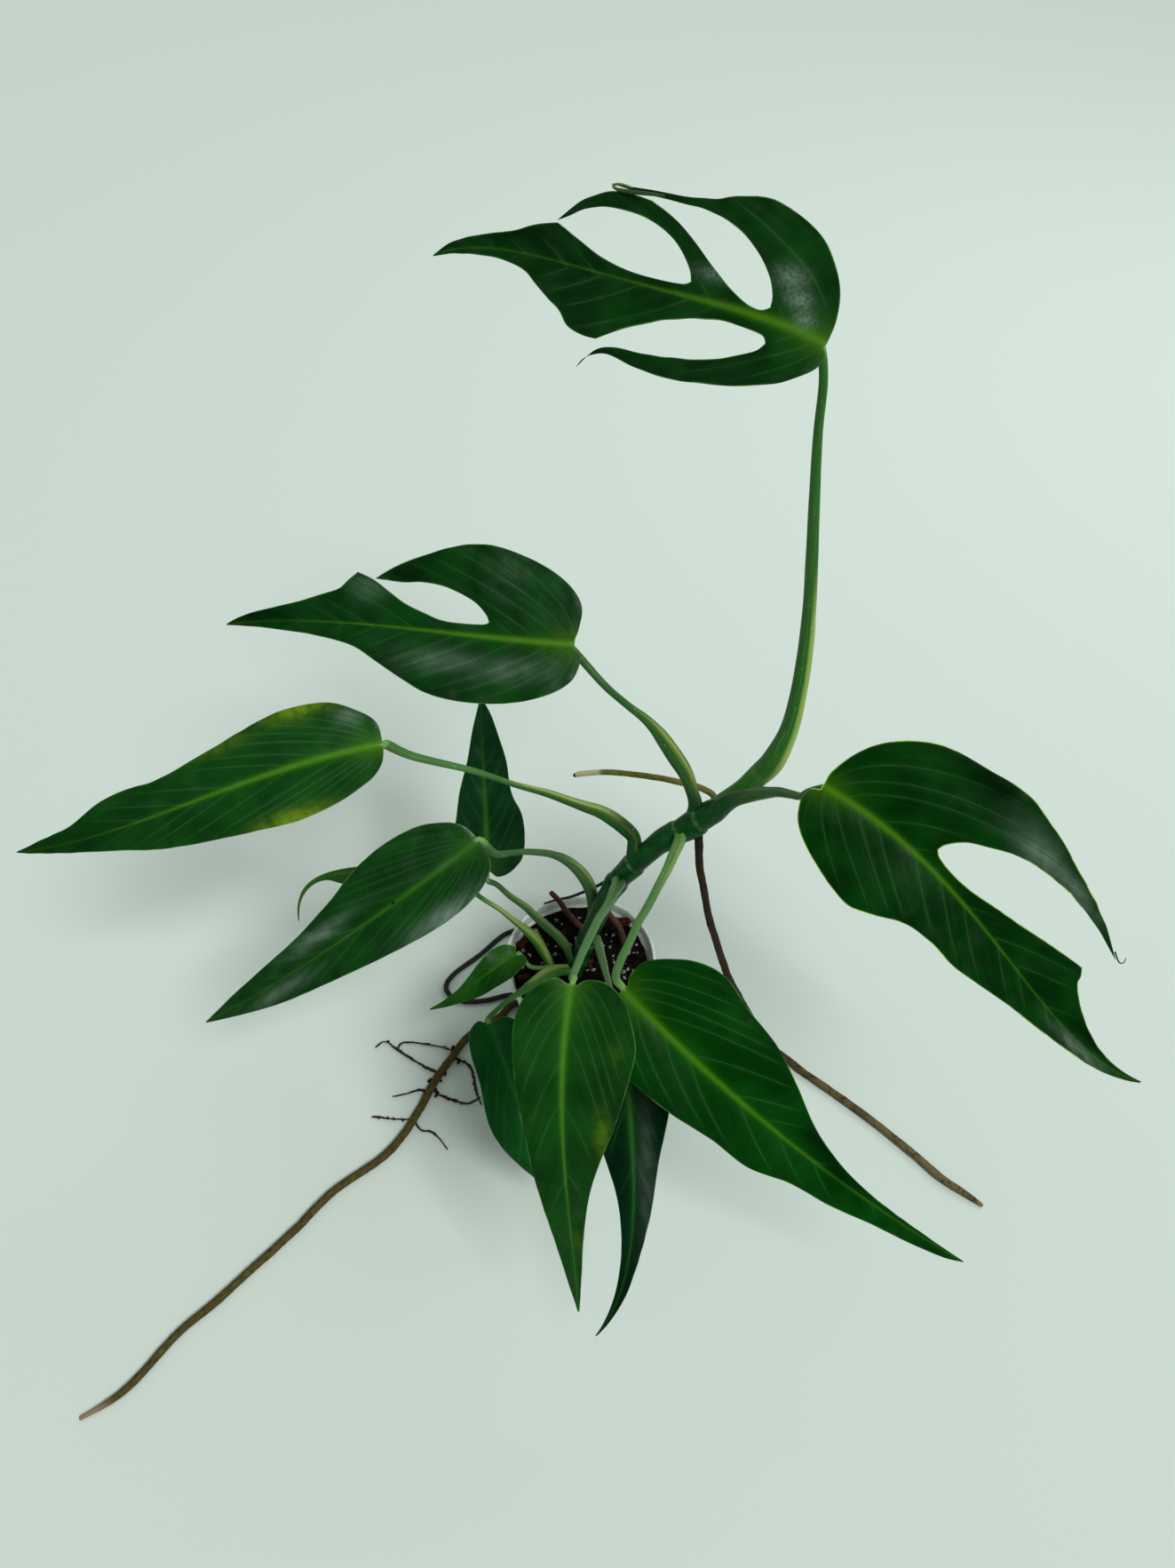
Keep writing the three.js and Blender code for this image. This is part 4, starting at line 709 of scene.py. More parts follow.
class Blade:
    """A blade's surface: u runs along its midrib, v out to its left, and w out of its upper face."""

    def __init__(self, leaf):
        self.leaf = leaf
        self.t = np.linspace(0, 1, 401)
        steps = np.linalg.norm(np.diff(bezier(leaf["midrib"], self.t), axis=0), axis=1)
        self.run = np.concatenate([[0], np.cumsum(steps)])
        self.length = self.run[-1]

    def frame(self, u):
        """The midrib's point, its way ahead, up and to the left, at each u."""
        within = np.clip(u, 0, self.length)
        t = np.interp(within, self.run, self.t)
        midrib = self.leaf["midrib"]
        ahead = unit(bezier(midrib, np.minimum(1, t + 0.002)) - bezier(midrib, np.maximum(0, t - 0.002)))
        centre = bezier(midrib, t) + ahead * (u - within)[:, None]
        start, end = (np.array(face, float) for face in self.leaf["face"])
        up = start + (end - start) * (within / self.length)[:, None]
        up = unit(up - ahead * np.sum(up * ahead, axis=1, keepdims=True))
        return centre, ahead, up, np.cross(up, ahead)

    def points(self, u, v, w):
        centre, _, up, across = self.frame(u)
        out, side = np.abs(v), np.sign(v)
        lean = KEEL + 0.5 * CURL * out
        tilt = (KEEL + CURL * out) * (1 - bump(out, 1.5))
        along = side * (out * np.cos(lean) - w * np.sin(tilt))
        rise = out * np.sin(lean) + w * np.cos(tilt)
        return centre + across * along[:, None] + up * rise[:, None]


def half_margin(half):
    """One half's margin, from the junction out and round its slots to the tip."""
    lobes, slots = half[::2], half[1::2]
    margin = list(spaced(lobes[0], MARGIN_STEP))
    for before, slot, lobe in zip(lobes, slots, lobes[1:]):
        margin += list(spaced([before[-1], *slot["near"][::-1], slot["end"]], MARGIN_STEP)[1:])
        margin += list(spaced([slot["end"], *slot["far"], lobe[0]], MARGIN_STEP)[1:-1])
        margin += list(spaced(lobe, MARGIN_STEP))
    return np.array(margin)


def distance_to(points, line):
    """Each point's distance to an open line of points."""
    nearest = np.full(len(points), np.inf)
    for a, b in zip(line[:-1], line[1:]):
        span = b - a
        t = np.clip((points - a) @ span / max(span @ span, 1e-12), 0, 1)
        nearest = np.minimum(nearest, np.linalg.norm(points - a - t[:, None] * span, axis=1))
    return nearest


def is_inside(points, line):
    """Which points a closed line goes round."""
    inside = np.zeros(len(points), bool)
    for (au, av), (bu, bv) in zip(line[:-1], line[1:]):
        if av != bv:
            crosses = (av > points[:, 1]) != (bv > points[:, 1])
            inside ^= crosses & (points[:, 0] < au + (bu - au) * (points[:, 1] - av) / (bv - av))
    return inside


def vein_number(u, v, veins):
    """Which side vein passes a point: whole numbers are veins, and those below 0 fan out of the junction.
    Found by halving, because a vein is known by how far ahead it has come at each distance out."""
    low, high = np.full(len(u), -6.0), np.full(len(u), 40.0)
    out, shift = np.abs(v), np.where(v > 0, 1.7, 0)
    for _ in range(40):
        s = 0.5 * (low + high)
        later = 0.5 * (s + np.sqrt(s * s + 0.3))
        uneven = later + 0.2 * (np.sin(2.3 * later + shift) - np.sin(shift))
        foot = veins["gap"] * uneven * (1 + 0.03 * later)
        sweep = veins["sweep"] + 0.62 * (s - later) + veins["more"] * later
        ahead = foot + sweep * out + veins["bend"] * out * out
        low, high = np.where(u > ahead, s, low), np.where(u > ahead, high, s)
    return 0.5 * (low + high)


def blade_sheet(leaf, length):
    """The flat blade: its points, faces and margin, cut fine enough for its veins."""
    left, right = half_margin(leaf["left"]), half_margin(leaf["right"])
    feet = max(2, round(length / MIDRIB_STEP))
    midrib = [(length * n / feet, 0.0) for n in range(feet + 1)]
    rim = [tuple(p) for p in left] + [midrib[-1]] + [(u, -v) for u, v in right[::-1]] + [midrib[0]]
    line = np.array(rim + rim[:1])
    # An even triangular grid inside the margin, clear of the midrib.
    grid = []
    for row, v in enumerate(np.arange(-60, 61, GRID_STEP * 0.866)):
        if abs(v) > 0.9:
            grid += [(u, v) for u in np.arange(-12 + (row % 2) * GRID_STEP / 2, length, GRID_STEP)]
    grid = np.array(grid)
    grid = grid[is_inside(grid, line) & (distance_to(grid, line) > GRID_STEP / 2)]
    count = len(rim)
    points = rim + midrib[1:-1] + [tuple(p) for p in grid]
    edges = [(n, (n + 1) % count) for n in range(count)]
    chain = [count - 1, *range(count, count + feet - 1), len(left)]
    edges += list(zip(chain[:-1], chain[1:]))
    found = delaunay_2d_cdt([Vector(p) for p in points], edges, [], 0, 1e-5, True)
    flat, faces = np.array([tuple(p) for p in found[0]]), np.array([tuple(face) for face in found[2]])
    faces = faces[is_inside(flat[faces].mean(axis=1), line)]
    used = np.unique(faces)
    return flat[used], [tuple(face) for face in np.searchsorted(used, faces).tolist()], line


def blade(name, veins):
    """A finished blade: two faces over one sheet, with sunken veins above and ribs below."""
    leaf = LEAVES[name]
    form = Blade(leaf)
    flat, faces, margin = blade_sheet(leaf, form.length)
    count = len(flat)
    u, v = flat.T
    out = np.abs(v)
    edge = distance_to(flat, margin)
    # Core is the greatest distance to the margin within 4 mm, so it is small all over a thin finger.
    core = [np.where(np.linalg.norm(point - flat, axis=1) < 4, edge, 0).max() for point in flat]
    number = vein_number(u, v, veins)
    spread = np.hypot(vein_number(u + 0.5, v, veins) - number,
        vein_number(u, v + 0.5 * np.sign(v + 1e-9), veins) - number)
    gap = np.clip(0.5 / np.maximum(spread, 1e-6), 0, 40)
    off = np.abs(number - np.round(number)) * gap
    inside = ramp(edge, 0.5, 6) * ramp(out, 1, 6)
    pillow = veins["pillow"] * (1 - bump(off, 2.6)) * inside
    reach = np.minimum(1, out / (0.16 * form.length))
    wave = leaf["wave"] * reach**2 * np.sin(6.5 * math.pi * u / form.length + np.where(v > 0, 0.6, 2.4))
    fret = 0.35 * (1 - ramp(edge, 0, 9)) * np.sin(u / 3.1 + 2 * np.sin(u / 11))
    taper = np.clip(1 - u / (1.1 * form.length), 0.1, 1)
    half = MARGIN_HALF + (BLADE_HALF - MARGIN_HALF) * ramp(edge, 0, 2)
    channel = -0.45 * bump(out, 1.5) * taper
    ridge = -(MIDRIB_RIDGE * taper) * bump(out, 1.9) - 0.25 * bump(off, 0.9) * inside
    base = pillow + wave + fret
    shell = np.concatenate([form.points(u, v, base + half + channel), form.points(u, v, base - half + ridge)])
    shell[:, 2] = np.minimum(shell[:, 2], HIGHEST)
    sides = dict.fromkeys((a, b) for face in faces for a, b in zip(face, face[1:] + face[:1]))
    rim = [(a, b) for a, b in sides if (b, a) not in sides]
    lower = [tuple(n + count for n in face[::-1]) for face in faces]
    walls = [(b, a, a + count, b + count) for a, b in rim]
    made = piece(f"leaf_{name}_blade", shell, faces + lower + walls)
    marks = {"along": u, "out": v, "edge": edge, "vein": number, "gap": gap, "core": core}
    marks = {mark: np.tile(values, 2) for mark, values in marks.items()}
    add_marks(made.data, {**marks, "under": np.repeat([0, 1], count), "reach": form.length})
    face_outwards(made)
    smooth(made, 70)
    return made


# The rings of a limb's rounded ends: how far from the end, in radii, and their share of the radius.
CAP_AT, CAP_SIZE = np.array([0, 0.12, 0.45]), np.array([0.3, 0.72, 0.94])
TUBES = {}


def straight_tube(sides, rings):
    """A plain closed tube of unit radius, one unit tall for each ring, extruded up from a circle."""
    if (sides, rings) not in TUBES:
        bpy.ops.mesh.primitive_circle_add(vertices=sides, radius=1, fill_type="TRIFAN", location=(0, 0, 0))
        made = bpy.context.object
        edit(made)
        bpy.ops.mesh.select_mode(type="EDGE")
        bpy.ops.mesh.select_all(action="SELECT")
        for _ in range(rings):
            bpy.ops.mesh.extrude_region_move(TRANSFORM_OT_translate={"value": (0, 0, 1)})
        bpy.ops.object.mode_set(mode="OBJECT")
        face_outwards(made)
        TUBES[(sides, rings)] = made
    return TUBES[(sides, rings)]


def limb(name, path, sides, step, groove, paint, section=lambda *_: 1.0):
    """A round limb laid along its path, its zero angle turned to the groove. section gives its outline, as
    shares of the radius, and paint gives its marks."""
    rows, length = spline(path, 600)
    rings = math.ceil(length / step / 8) * 8 + 6  # in steps of eight, so that limbs can share a tube
    first, last = rows[0][3], rows[-1][3]
    middle = np.linspace(first, length - last, rings - 5)
    lay = np.concatenate([CAP_AT * first, middle, length - CAP_AT[::-1] * last])
    squeeze = np.concatenate([CAP_SIZE, np.ones(rings - 5), CAP_SIZE[::-1]])
    base = straight_tube(sides, rings)
    made = base.copy()
    made.data = base.data.copy()
    made.name = made.data.name = name
    bpy.context.scene.collection.objects.link(made)
    flat = np.array([tuple(p.co) for p in made.data.vertices])
    ring = np.round(flat[:, 2]).astype(int)
    run = np.linspace(0, length, len(rows))
    centre = np.stack([np.interp(lay, run, column) for column in rows.T], axis=1)
    ahead = unit(np.gradient(centre[:, :3], axis=0))
    groove = np.array(groove, float)
    open_side = unit(groove - ahead * (ahead @ groove)[:, None])
    across = np.cross(ahead, open_side)
    angle = np.arctan2(flat[:, 1], flat[:, 0])
    along = lay[ring]
    size = centre[ring, 3] * squeeze[ring] * section(angle, along, length)
    radius = np.hypot(flat[:, 0], flat[:, 1]) * size
    facing = (open_side[ring].T * np.cos(angle) + across[ring].T * np.sin(angle)).T
    place = centre[ring, :3] + facing * radius[:, None]
    place[:, 2] = np.maximum(place[:, 2], FLOOR_GAP)
    made.data.vertices.foreach_set("co", (place * MM).ravel())
    marks = {"along": along, "turn": angle, "share": along / length}
    add_marks(made.data, {**marks, **paint(facing, angle, along, length)})
    face_outwards(made)
    smooth(made, 75)
    return made


def petiole(name):
    """A petiole with its channel, the wings of its sheath low down, and the swollen knee at the blade."""
    look = PETIOLES[name]
    hidden = "hidden" in look
    places = np.array([0.0, 10.0 if hidden else 7.0])  # the junction, and where it meets the midrib
    (centre, under), (ahead, _), (up, face), _ = Blade(LEAVES[name]).frame(places)
    radius = look["path"][-1][3]

    def near(forward, below, size):
        """A point of the path beside the junction, with its size as a share of the radius."""
        return *(centre + forward * ahead - below * up), radius * size

    if hidden:
        end = [near(3, 6, 1), near(6, 2.8, 0.8)]
    else:
        end = [near(-2.7, 5.4, look.get("swell", 1.12)), near(-0.8, 1.9, 0.85)]
    if not look.get("knee", True):
        end = end[1:]
    under = under - face * (BLADE_HALF + 0.9 * MIDRIB_RIDGE)

    def sheathed(share):
        return 1 - ramp(share, look["sheath"] - 0.05, look["sheath"] + 0.02)

    def section(angle, along, length):
        low = sheathed(along / length) * ramp(along, 0, 10)
        channel = -0.16 * bump(angle, 0.5)
        wing = low * (0.28 * bump(np.abs(angle) - 0.62, 0.2) - 0.25 * bump(angle, 0.42))
        grain = 0.012 * np.sin(9 * angle + 0.2 * along)
        far = look.get("thick", 0) * ramp(along / length, 0.5, 0.9)
        much, run = look.get("foot", (0.25, 11))
        return 1 + channel + wing + grain + far + much * (1 - ramp(along, 0.2 * run, run))

    def paint(facing, angle, along, length):
        share = along / length
        # Painted light: the side that faces "side" is made pale, as if lit, up to the share "until" and above
        # any ring.
        side = unit(np.array(look["side"], float))
        lit = ramp(facing @ side, look["from"], look["from"] + 0.35)
        lit = lit * look["pale"] * (1 - ramp(share, look["until"], look["until"] + 0.15))
        ring, above = 0, 0
        if "ring" in look:
            ring = bump(along - look["ring"], 0.6)
            above = ramp(along, look["ring"] - 2, look["ring"] + 4)
            lit = lit * above
        start = 1 - ramp(along, 0.5 * look["base"], look["base"])
        if "vee" in look:
            start = start * bump(angle, 0.25 + 0.9 * (1 - ramp(along, 0, look["base"])))
        return {
            "pale": lit,
            "knee": ramp(along, length - 16, length - 9),
            "rind": sheathed(share) * bump(np.abs(angle) - 0.66, 0.17) * look.get("dry", 0.2),
            "base": start,
            "tone": look["tone"] + look.get("far", 0) * ramp(share, 0.45, 0.75),
            "ring": ring,
            "warm": look.get("warm", 0) * (1 - 0.35 * above),
        }

    path = [*look["path"], *end, (*under, 0.8)]
    return limb(f"leaf_{name}_petiole", path, 24, 2.4, look["groove"], paint, section)


def curl(name, leaf, path):
    """The rolled or hooked end of a finger, its path given on the leaf: u, v, w, radius."""
    u, v, w, radius = np.array(path, float).T
    path = np.column_stack([Blade(LEAVES[leaf]).points(u, v, w), radius])

    def paint(facing, angle, along, length):
        # The upper side of its far half is painted pale, as light falling on it.
        return {"tone": 0.1, "pale": 0.7 * ramp(along / length, 0.45, 0.9) * bump(angle, 1.2)}

    return limb(name, path, 10, 1.2, (0, 0, 1), paint)


def stem():
    """The stem, with a swelling and a thin pale scar at each leaf's node."""
    rows, whole = spline(STEM, 400)
    run = np.linspace(0, whole, len(rows))

    def section(angle, along, length):
        z = np.interp(along, run, rows[:, 2])
        swelling = sum(ramp(z, node - 11, node) * (1 - ramp(z, node + 0.5, node + 3)) for node in NODES)
        crease = sum(bump(z - node - 2.6, 0.8) for node in NODES)
        stout = 1.06 + 0.16 * ramp(z, 150, 215)
        return stout + 0.15 * swelling - 0.04 * crease + 0.015 * np.sin(3 * angle + 0.06 * along)

    def paint(facing, angle, along, length):
        z = np.interp(along, run, rows[:, 2])
        line = sum(bump(z - node - 2.4 - 0.7 * np.sin(angle + node), 0.4) for node in NODES)
        return {"scar": np.clip(line, 0, 1)}

    return limb("stem", STEM, 32, 1.4, (-1, 0, 0.2), paint, section)


def root(name, path, seed, sides=14, step=2.2, knobs=0.08, slim=1.0, fine=0.0):
    """A root: round and a little knobbly, with its radius slimmed but its underside left where it is. The
    dark rootlets are fine."""
    path = [(x, y, z - (1 - slim) * radius, slim * radius) for x, y, z, radius in path]

    def section(angle, along, length):
        spots = np.stack([0.35 * along, 1.6 * np.cos(angle), 1.6 * np.sin(angle)], axis=1)
        coarse = np.stack([0.09 * along, 0.4 * np.cos(angle), 0.4 * np.sin(angle)], axis=1)
        return 1 + knobs * field(spots, seed, 2) + 1.2 * knobs * field(coarse, seed + 3, 1)

    return limb(name, path, sides, step, (0.3, 0.2, 1), lambda *_: {"fine": fine}, section)


def clods(count, seed):
    """Crumbs of soil caught on the first rootlets, near their parent: x, y, z, size."""
    rng = np.random.default_rng(seed)
    made = []
    for _ in range(count):
        rows, _ = spline(ROOTLETS[rng.choice([0, 1, 3, 4, 4, 4, 5, 5, 5])], 100)
        x, y, z, _ = rows[int(100 * rng.uniform(0.05, 0.9) ** 1.6)]
        made.append((x + rng.normal(0, 0.5), y + rng.normal(0, 0.5), z + 0.3, rng.uniform(0.5, 1.25)))
    return made


def lathe(name, profile, sides):
    """A round wall turned from its profile, radius and height, by extruding a circle from ring to ring."""
    radius, height = profile[0]
    bpy.ops.mesh.primitive_circle_add(vertices=sides, radius=radius, location=(0, 0, height))
    made = bpy.context.object
    made.name = made.data.name = name
    edit(made)
    for (r0, z0), (r1, z1) in zip(profile[:-1], profile[1:]):
        bpy.ops.mesh.extrude_region_move(TRANSFORM_OT_translate={"value": (0, 0, z1 - z0)})
        bpy.ops.transform.resize(value=(r1 / r0, r1 / r0, 1), center_override=(0, 0, z1))
    bpy.ops.mesh.select_all(action="DESELECT")
    bpy.ops.mesh.select_non_manifold()
    bpy.ops.mesh.edge_face_add()
    bpy.ops.object.mode_set(mode="OBJECT")
    made.data.transform(Matrix.Scale(MM, 4) @ made.matrix_world)
    made.matrix_world = Matrix.Identity(4)
    return made


def apply_modifier(made):
    pick(made)
    bpy.ops.object.modifier_apply(modifier=made.modifiers[0].name)


def pot():
    """The nursery pot: one moulded wall with a flared band, a rolled rim and slots round its foot."""
    foot, shoulder, rim, height = POT["foot"], POT["shoulder"], POT["rim"], POT["height"]
    wall, floor, band = POT["wall"], POT["floor"], height - POT["band"]
    rolled = [(0.6, 4), (0.4, 2.4), (0.1, 1.8), (0, 1), (0.3, 0.3), (1, 0), (1.8, 0.3), (2.2, 1), (2.4, 4)]
    profile = [
        (2, 0.6), (foot - 6, 0.6), (foot - 5, 0), (foot - 1, 0), (foot - 0.3, 0.3), (foot, 1),
        (foot + 0.9, 12), (foot + 1, 13), (shoulder - 0.4, band - 5), (shoulder, band),
        (rim - 1.6, band + 0.7), (rim - 1, band + 1.5), *((rim - r, height - z) for r, z in rolled),
        (rim - 2.6, band + 3.2), (shoulder - wall, band + 0.6), (shoulder - wall - 0.4, band - 5),
        (foot - wall + 0.4, floor + 1), (foot - wall - 0.6, floor), (2, floor),
    ]
    made = lathe("nursery_pot", profile, 128)
    for n in range(SLOT["count"]):
        angle = math.radians(SLOT["first"] + 360 * n / SLOT["count"])
        middle = (foot * math.cos(angle), foot * math.sin(angle), SLOT["height"] / 2 + floor + 0.4)
        bpy.ops.mesh.primitive_cube_add(size=1, location=[c * MM for c in middle], rotation=(0, 0, angle))
        cutter = bpy.context.object
        cutter.scale = [c * MM for c in (SLOT["depth"], SLOT["width"], SLOT["height"])]
        bpy.ops.object.transform_apply(location=False, rotation=False, scale=True)
        corners = cutter.modifiers.new("corners", "BEVEL")
        corners.width, corners.segments = SLOT["corner"] * MM, 3
        apply_modifier(cutter)
        slot = made.modifiers.new("slot", "BOOLEAN")
        slot.operation, slot.solver, slot.object = "DIFFERENCE", "EXACT", cutter
        apply_modifier(made)
        bpy.data.objects.remove(cutter)
    smooth(made, 32)
    return made


def soil_height(x, y):
    wave = math.sin(0.31 * x + 1.1) * math.sin(0.27 * y) + 0.5 * math.sin(0.57 * x - 0.43 * y)
    return SOIL_TOP + 1.3 * wave


def soil():
    """The potting mix, with a lumpy top."""
    flare = (POT["shoulder"] - POT["foot"]) * (SOIL_TOP - 6) / (POT["height"] - POT["band"])
    reach = POT["foot"] + flare - POT["wall"] - 0.3
    bottom = POT["foot"] - POT["wall"] - 0.6
    crown = [(reach * (1 - n / 46), SOIL_TOP) for n in range(46)]
    profile = [(2, POT["floor"] + 0.3), (bottom, POT["floor"] + 0.3), (reach - 0.3, SOIL_TOP - 5), *crown]
    made = lathe("potting_mix", profile, 120)
    for vertex in made.data.vertices:
        x, y, z = vertex.co / MM
        if z > SOIL_TOP - 1:
            rough = noise.fractal(Vector((x, y, 0)) / 3.4, 1, 2, 4)
            lump = max(0, noise.noise(Vector((x, y, 9)) / 2.1))
            inward = min(1, (reach - math.hypot(x, y)) / 3 + 0.35)
            vertex.co.z = (soil_height(x, y) + inward * (1.1 * rough + 1.6 * lump)) * MM
    smooth(made, 80)
    return made


def strewn(count, size, limit, seed, sink):
    """Places on the soil, clear of the stems: x, y, z and how big the grain there is."""
    draw = random.Random(seed)
    places = []
    while len(places) < count:
        angle, radius = draw.uniform(0, 2 * math.pi), limit * math.sqrt(draw.random())
        x, y = radius * math.cos(angle), radius * math.sin(angle)
        big = draw.uniform(*size)
        if not any(math.hypot(x - a, y - b) < c for a, b, c in STANDING):
            places.append((x, y, soil_height(x, y) + 0.6 - sink * big, big))
    return places


def heap(name, kinds, places, seed):
    """Copies of a few grains, each turned its own way, at the places given, as one piece."""
    draw = random.Random(seed)
    points, faces = [], []
    for x, y, z, big in places:
        kind = draw.choice(kinds)
        turn = Matrix.Rotation(draw.uniform(0, 6.3), 3, "Z")
        turn = turn @ Matrix.Rotation(draw.uniform(-0.6, 0.6), 3, "X")
        faces += [[len(points) + n for n in face.vertices] for face in kind.data.polygons]
        points += [turn @ p.co * big + Vector((x, y, z)) for p in kind.data.vertices]
    made = piece(name, points, faces)
    smooth(made, 50)
    return made


def grain(seed, divisions, rough, stretch):
    """One irregular grain, pulled out of a ball."""
    bpy.ops.mesh.primitive_ico_sphere_add(subdivisions=divisions, radius=1)
    made = bpy.context.object
    for vertex in made.data.vertices:
        pull = 1 + rough * noise.fractal(vertex.co * 1.3 + Vector((seed, 0, 0)), 1, 2, 3)
        vertex.co = Vector(c * pull * s for c, s in zip(vertex.co, stretch))
    return made


def chip(seed):
    """One bark chip: a split flake with ragged ends."""
    bpy.ops.mesh.primitive_cube_add(size=2)
    made = bpy.context.object
    edit(made)
    bpy.ops.mesh.subdivide(number_cuts=4)
    bpy.ops.object.mode_set(mode="OBJECT")
    for vertex in made.data.vertices:
        x, y, z = vertex.co
        flake = noise.fractal(vertex.co * 0.9 + Vector((seed, 3, 0)), 1, 2, 3)
        ragged = 1 + 0.35 * noise.noise(Vector((y * 2.5, z, seed)))
        vertex.co = Vector((x * ragged, y * (0.55 + 0.2 * flake), z * 0.3 + 0.22 * flake))
    return made


# Leaf colours, from the dark and lighter green of the blade to its pale margin, and how strong or wide each
# mark is. The rows of painted sheen, shade and "aged" yellowing are soft ovals: u, v, half length, half width
# and strength, and for the sheen also the size of its mottling, which is 0 where it follows the sheen. The
# sheen rows are painted pale grey highlights where the blade catches the light, and the shade rows painted
# shade where it folds or curls away from the light, but for one small dark spot of leaf E's own.
GREEN = {
    "deep": "#022004", "mid": "#06340a", "light": "#164a1c", "rib": "#38702f", "glow": "#124a06",
    "yellow": "#4a7c10", "margin": "#6f9850", "line": 0.65, "midrib": 2.0, "thins": 0.9, "fades": 0.9,
    "ribs": 0.3, "rough": 0.36, "wax": 0.2, "pleats": 1.0,
}
LOOKS = {
    "a": {
        "deep": "#022404", "mid": "#06380a", "line": 0.9, "ribs": 0.25, "midrib": 2.6, "fades": 0.6,
        "thins": 0.5, "shade": [(178, -9, 20, 6, 0.7), (100, 36, 20, 5, 0.5)],
        "painted_sheen": [(14, -5, 5, 3.5, 0.5, 1.4), (20, -12, 6, 4, 0.6, 1.4), (27, -20, 7, 5, 0.5, 1.4),
            (62, -12, 9, 3.5, 0.35, 1.4)],
    },
    "b": {
        "deep": "#022604", "mid": "#083c0e", "ribs": 0.18, "rough": 0.38, "thins": 0.6,
        "painted_sheen": [(34, 17, 24, 7, 0.22, 0), (75, 16, 22, 6, 0.26, 0), (118, -20, 10, 6, 0.25, 0)],
        "shade": [(98, -29, 16, 6, 0.7), (180, -4, 30, 6, 0.6)],
    },
    "c": {
        "deep": "#06300a", "mid": "#0e4410", "glow": "#1a5a0a", "yellow": "#4c8018", "midrib": 2.2,
        "thins": 0.8, "ribs": 0.24, "shade": [(205, 0, 40, 14, 0.5)], "painted_sheen": [(14, -20, 8, 6, 0.3, 0)],
        "aged": [(40, -30, 20, 5, 0.6), (58, 29, 20, 5, 0.65), (88, -24, 18, 4, 0.25)],
    },
    "d": {
        "deep": "#012203", "mid": "#033406", "margin": "#a8cc5c", "line": 1.4, "ribs": 0.2, "wax": 0.08,
        "thins": 0.6, "fades": 0.75,
        "shade": [(64, 53, 16, 7, 0.85), (208, 7, 26, 5, 0.85), (48, 50, 16, 8, 0.4)],
        "painted_sheen": [(100, 45, 16, 8, 0.4, 0), (128, 49, 18, 4, 0.35, 0), (200, -3, 20, 3, 0.4, 0)],
    },
    "e": {
        "deep": "#032c06", "mid": "#083e0c", "yellow": "#336214", "ribs": 0.14, "rough": 0.3, "wax": 0.35,
        "pleats": 0.3, "thins": 0.6, "shade": [(61.5, -0.6, 1.4, 1.0, 0.9)],
        "painted_sheen": [(42, 25, 20, 6, 0.7, 0), (112, -10, 20, 4, 0.45, 0), (150, 6, 22, 3.5, 0.35, 0)],
    },
    "f": {"deep": "#02240c", "mid": "#063012", "yellow": "#2f5f1a", "glow": "#0e3a0c", "ribs": 0.12},
    "g": {"deep": "#1c4418", "mid": "#305a26"},
    "h": {"deep": "#0e3f08", "mid": "#1c5610", "yellow": "#3a7018", "midrib": 1.1, "thins": 0.6},
    "i": {
        "deep": "#052e06", "mid": "#0c400c", "glow": "#185806", "yellow": "#4a8020", "thins": 0.7,
        "ribs": 0.24,
        "aged": [(35, 27, 9, 4, 0.1), (80, 21, 13, 4, 0.32), (150, 3, 6, 3, 0.15)],
    },
    "j": {
        "deep": "#022a04", "mid": "#073c0a", "glow": "#165606", "yellow": "#467a10", "midrib": 2.1,
        "thins": 0.75, "wax": 0.03, "ribs": 0.23, "shade": [(134, 10, 18, 5, 0.75), (158, 3, 14, 4, 0.6)],
    },
    "k": {
        "deep": "#021a0a", "mid": "#052612", "light": "#103a20", "rib": "#24502e", "yellow": "#32662a",
        "wax": 0.05, "painted_sheen": [(90, 8, 40, 5, 0.2, 0)],
    },
    "l": {"deep": "#043c10", "mid": "#0a4c1a", "yellow": "#1c6428", "glow": "#0e4414", "ribs": 0.15},
}
# The side veins: the gap between them, how far they sweep ahead, how much more towards the tip, how they
# bend, and how high the blade stands between them.
VEINS = {"gap": 15, "sweep": 1.0, "more": 0.1, "bend": 0.02, "pillow": 0.12}
SIDE_VEINS = {
    "a": {"gap": 17, "sweep": 0.7, "more": 0.12, "bend": 0.03},
    "b": {"gap": 16, "sweep": 1.2, "bend": 0.022},
    "c": {"gap": 26, "sweep": 2.3, "more": 0.15, "bend": 0.045},
    "d": {"gap": 17, "sweep": 0.8, "more": 0.12, "bend": 0.022},
    "e": {"gap": 25, "sweep": 2.6, "bend": 0.05, "pillow": 0.06},
    "f": {"gap": 19, "sweep": 1.2, "bend": 0.05},
    "g": {"gap": 10, "sweep": 1.5, "bend": 0.05, "pillow": 0.2},
    "h": {"gap": 9, "sweep": 1.2, "bend": 0.06, "pillow": 0.2},
    "i": {"gap": 32, "sweep": 1.2, "bend": 0.055},
    "j": {"gap": 25, "bend": 0.045},
    "k": {"gap": 26, "sweep": 1.6, "bend": 0.04},
    "l": {"gap": 19, "sweep": 1.1, "bend": 0.05},
}

fit(pot(), milky_plastic(), "pot", "pot")

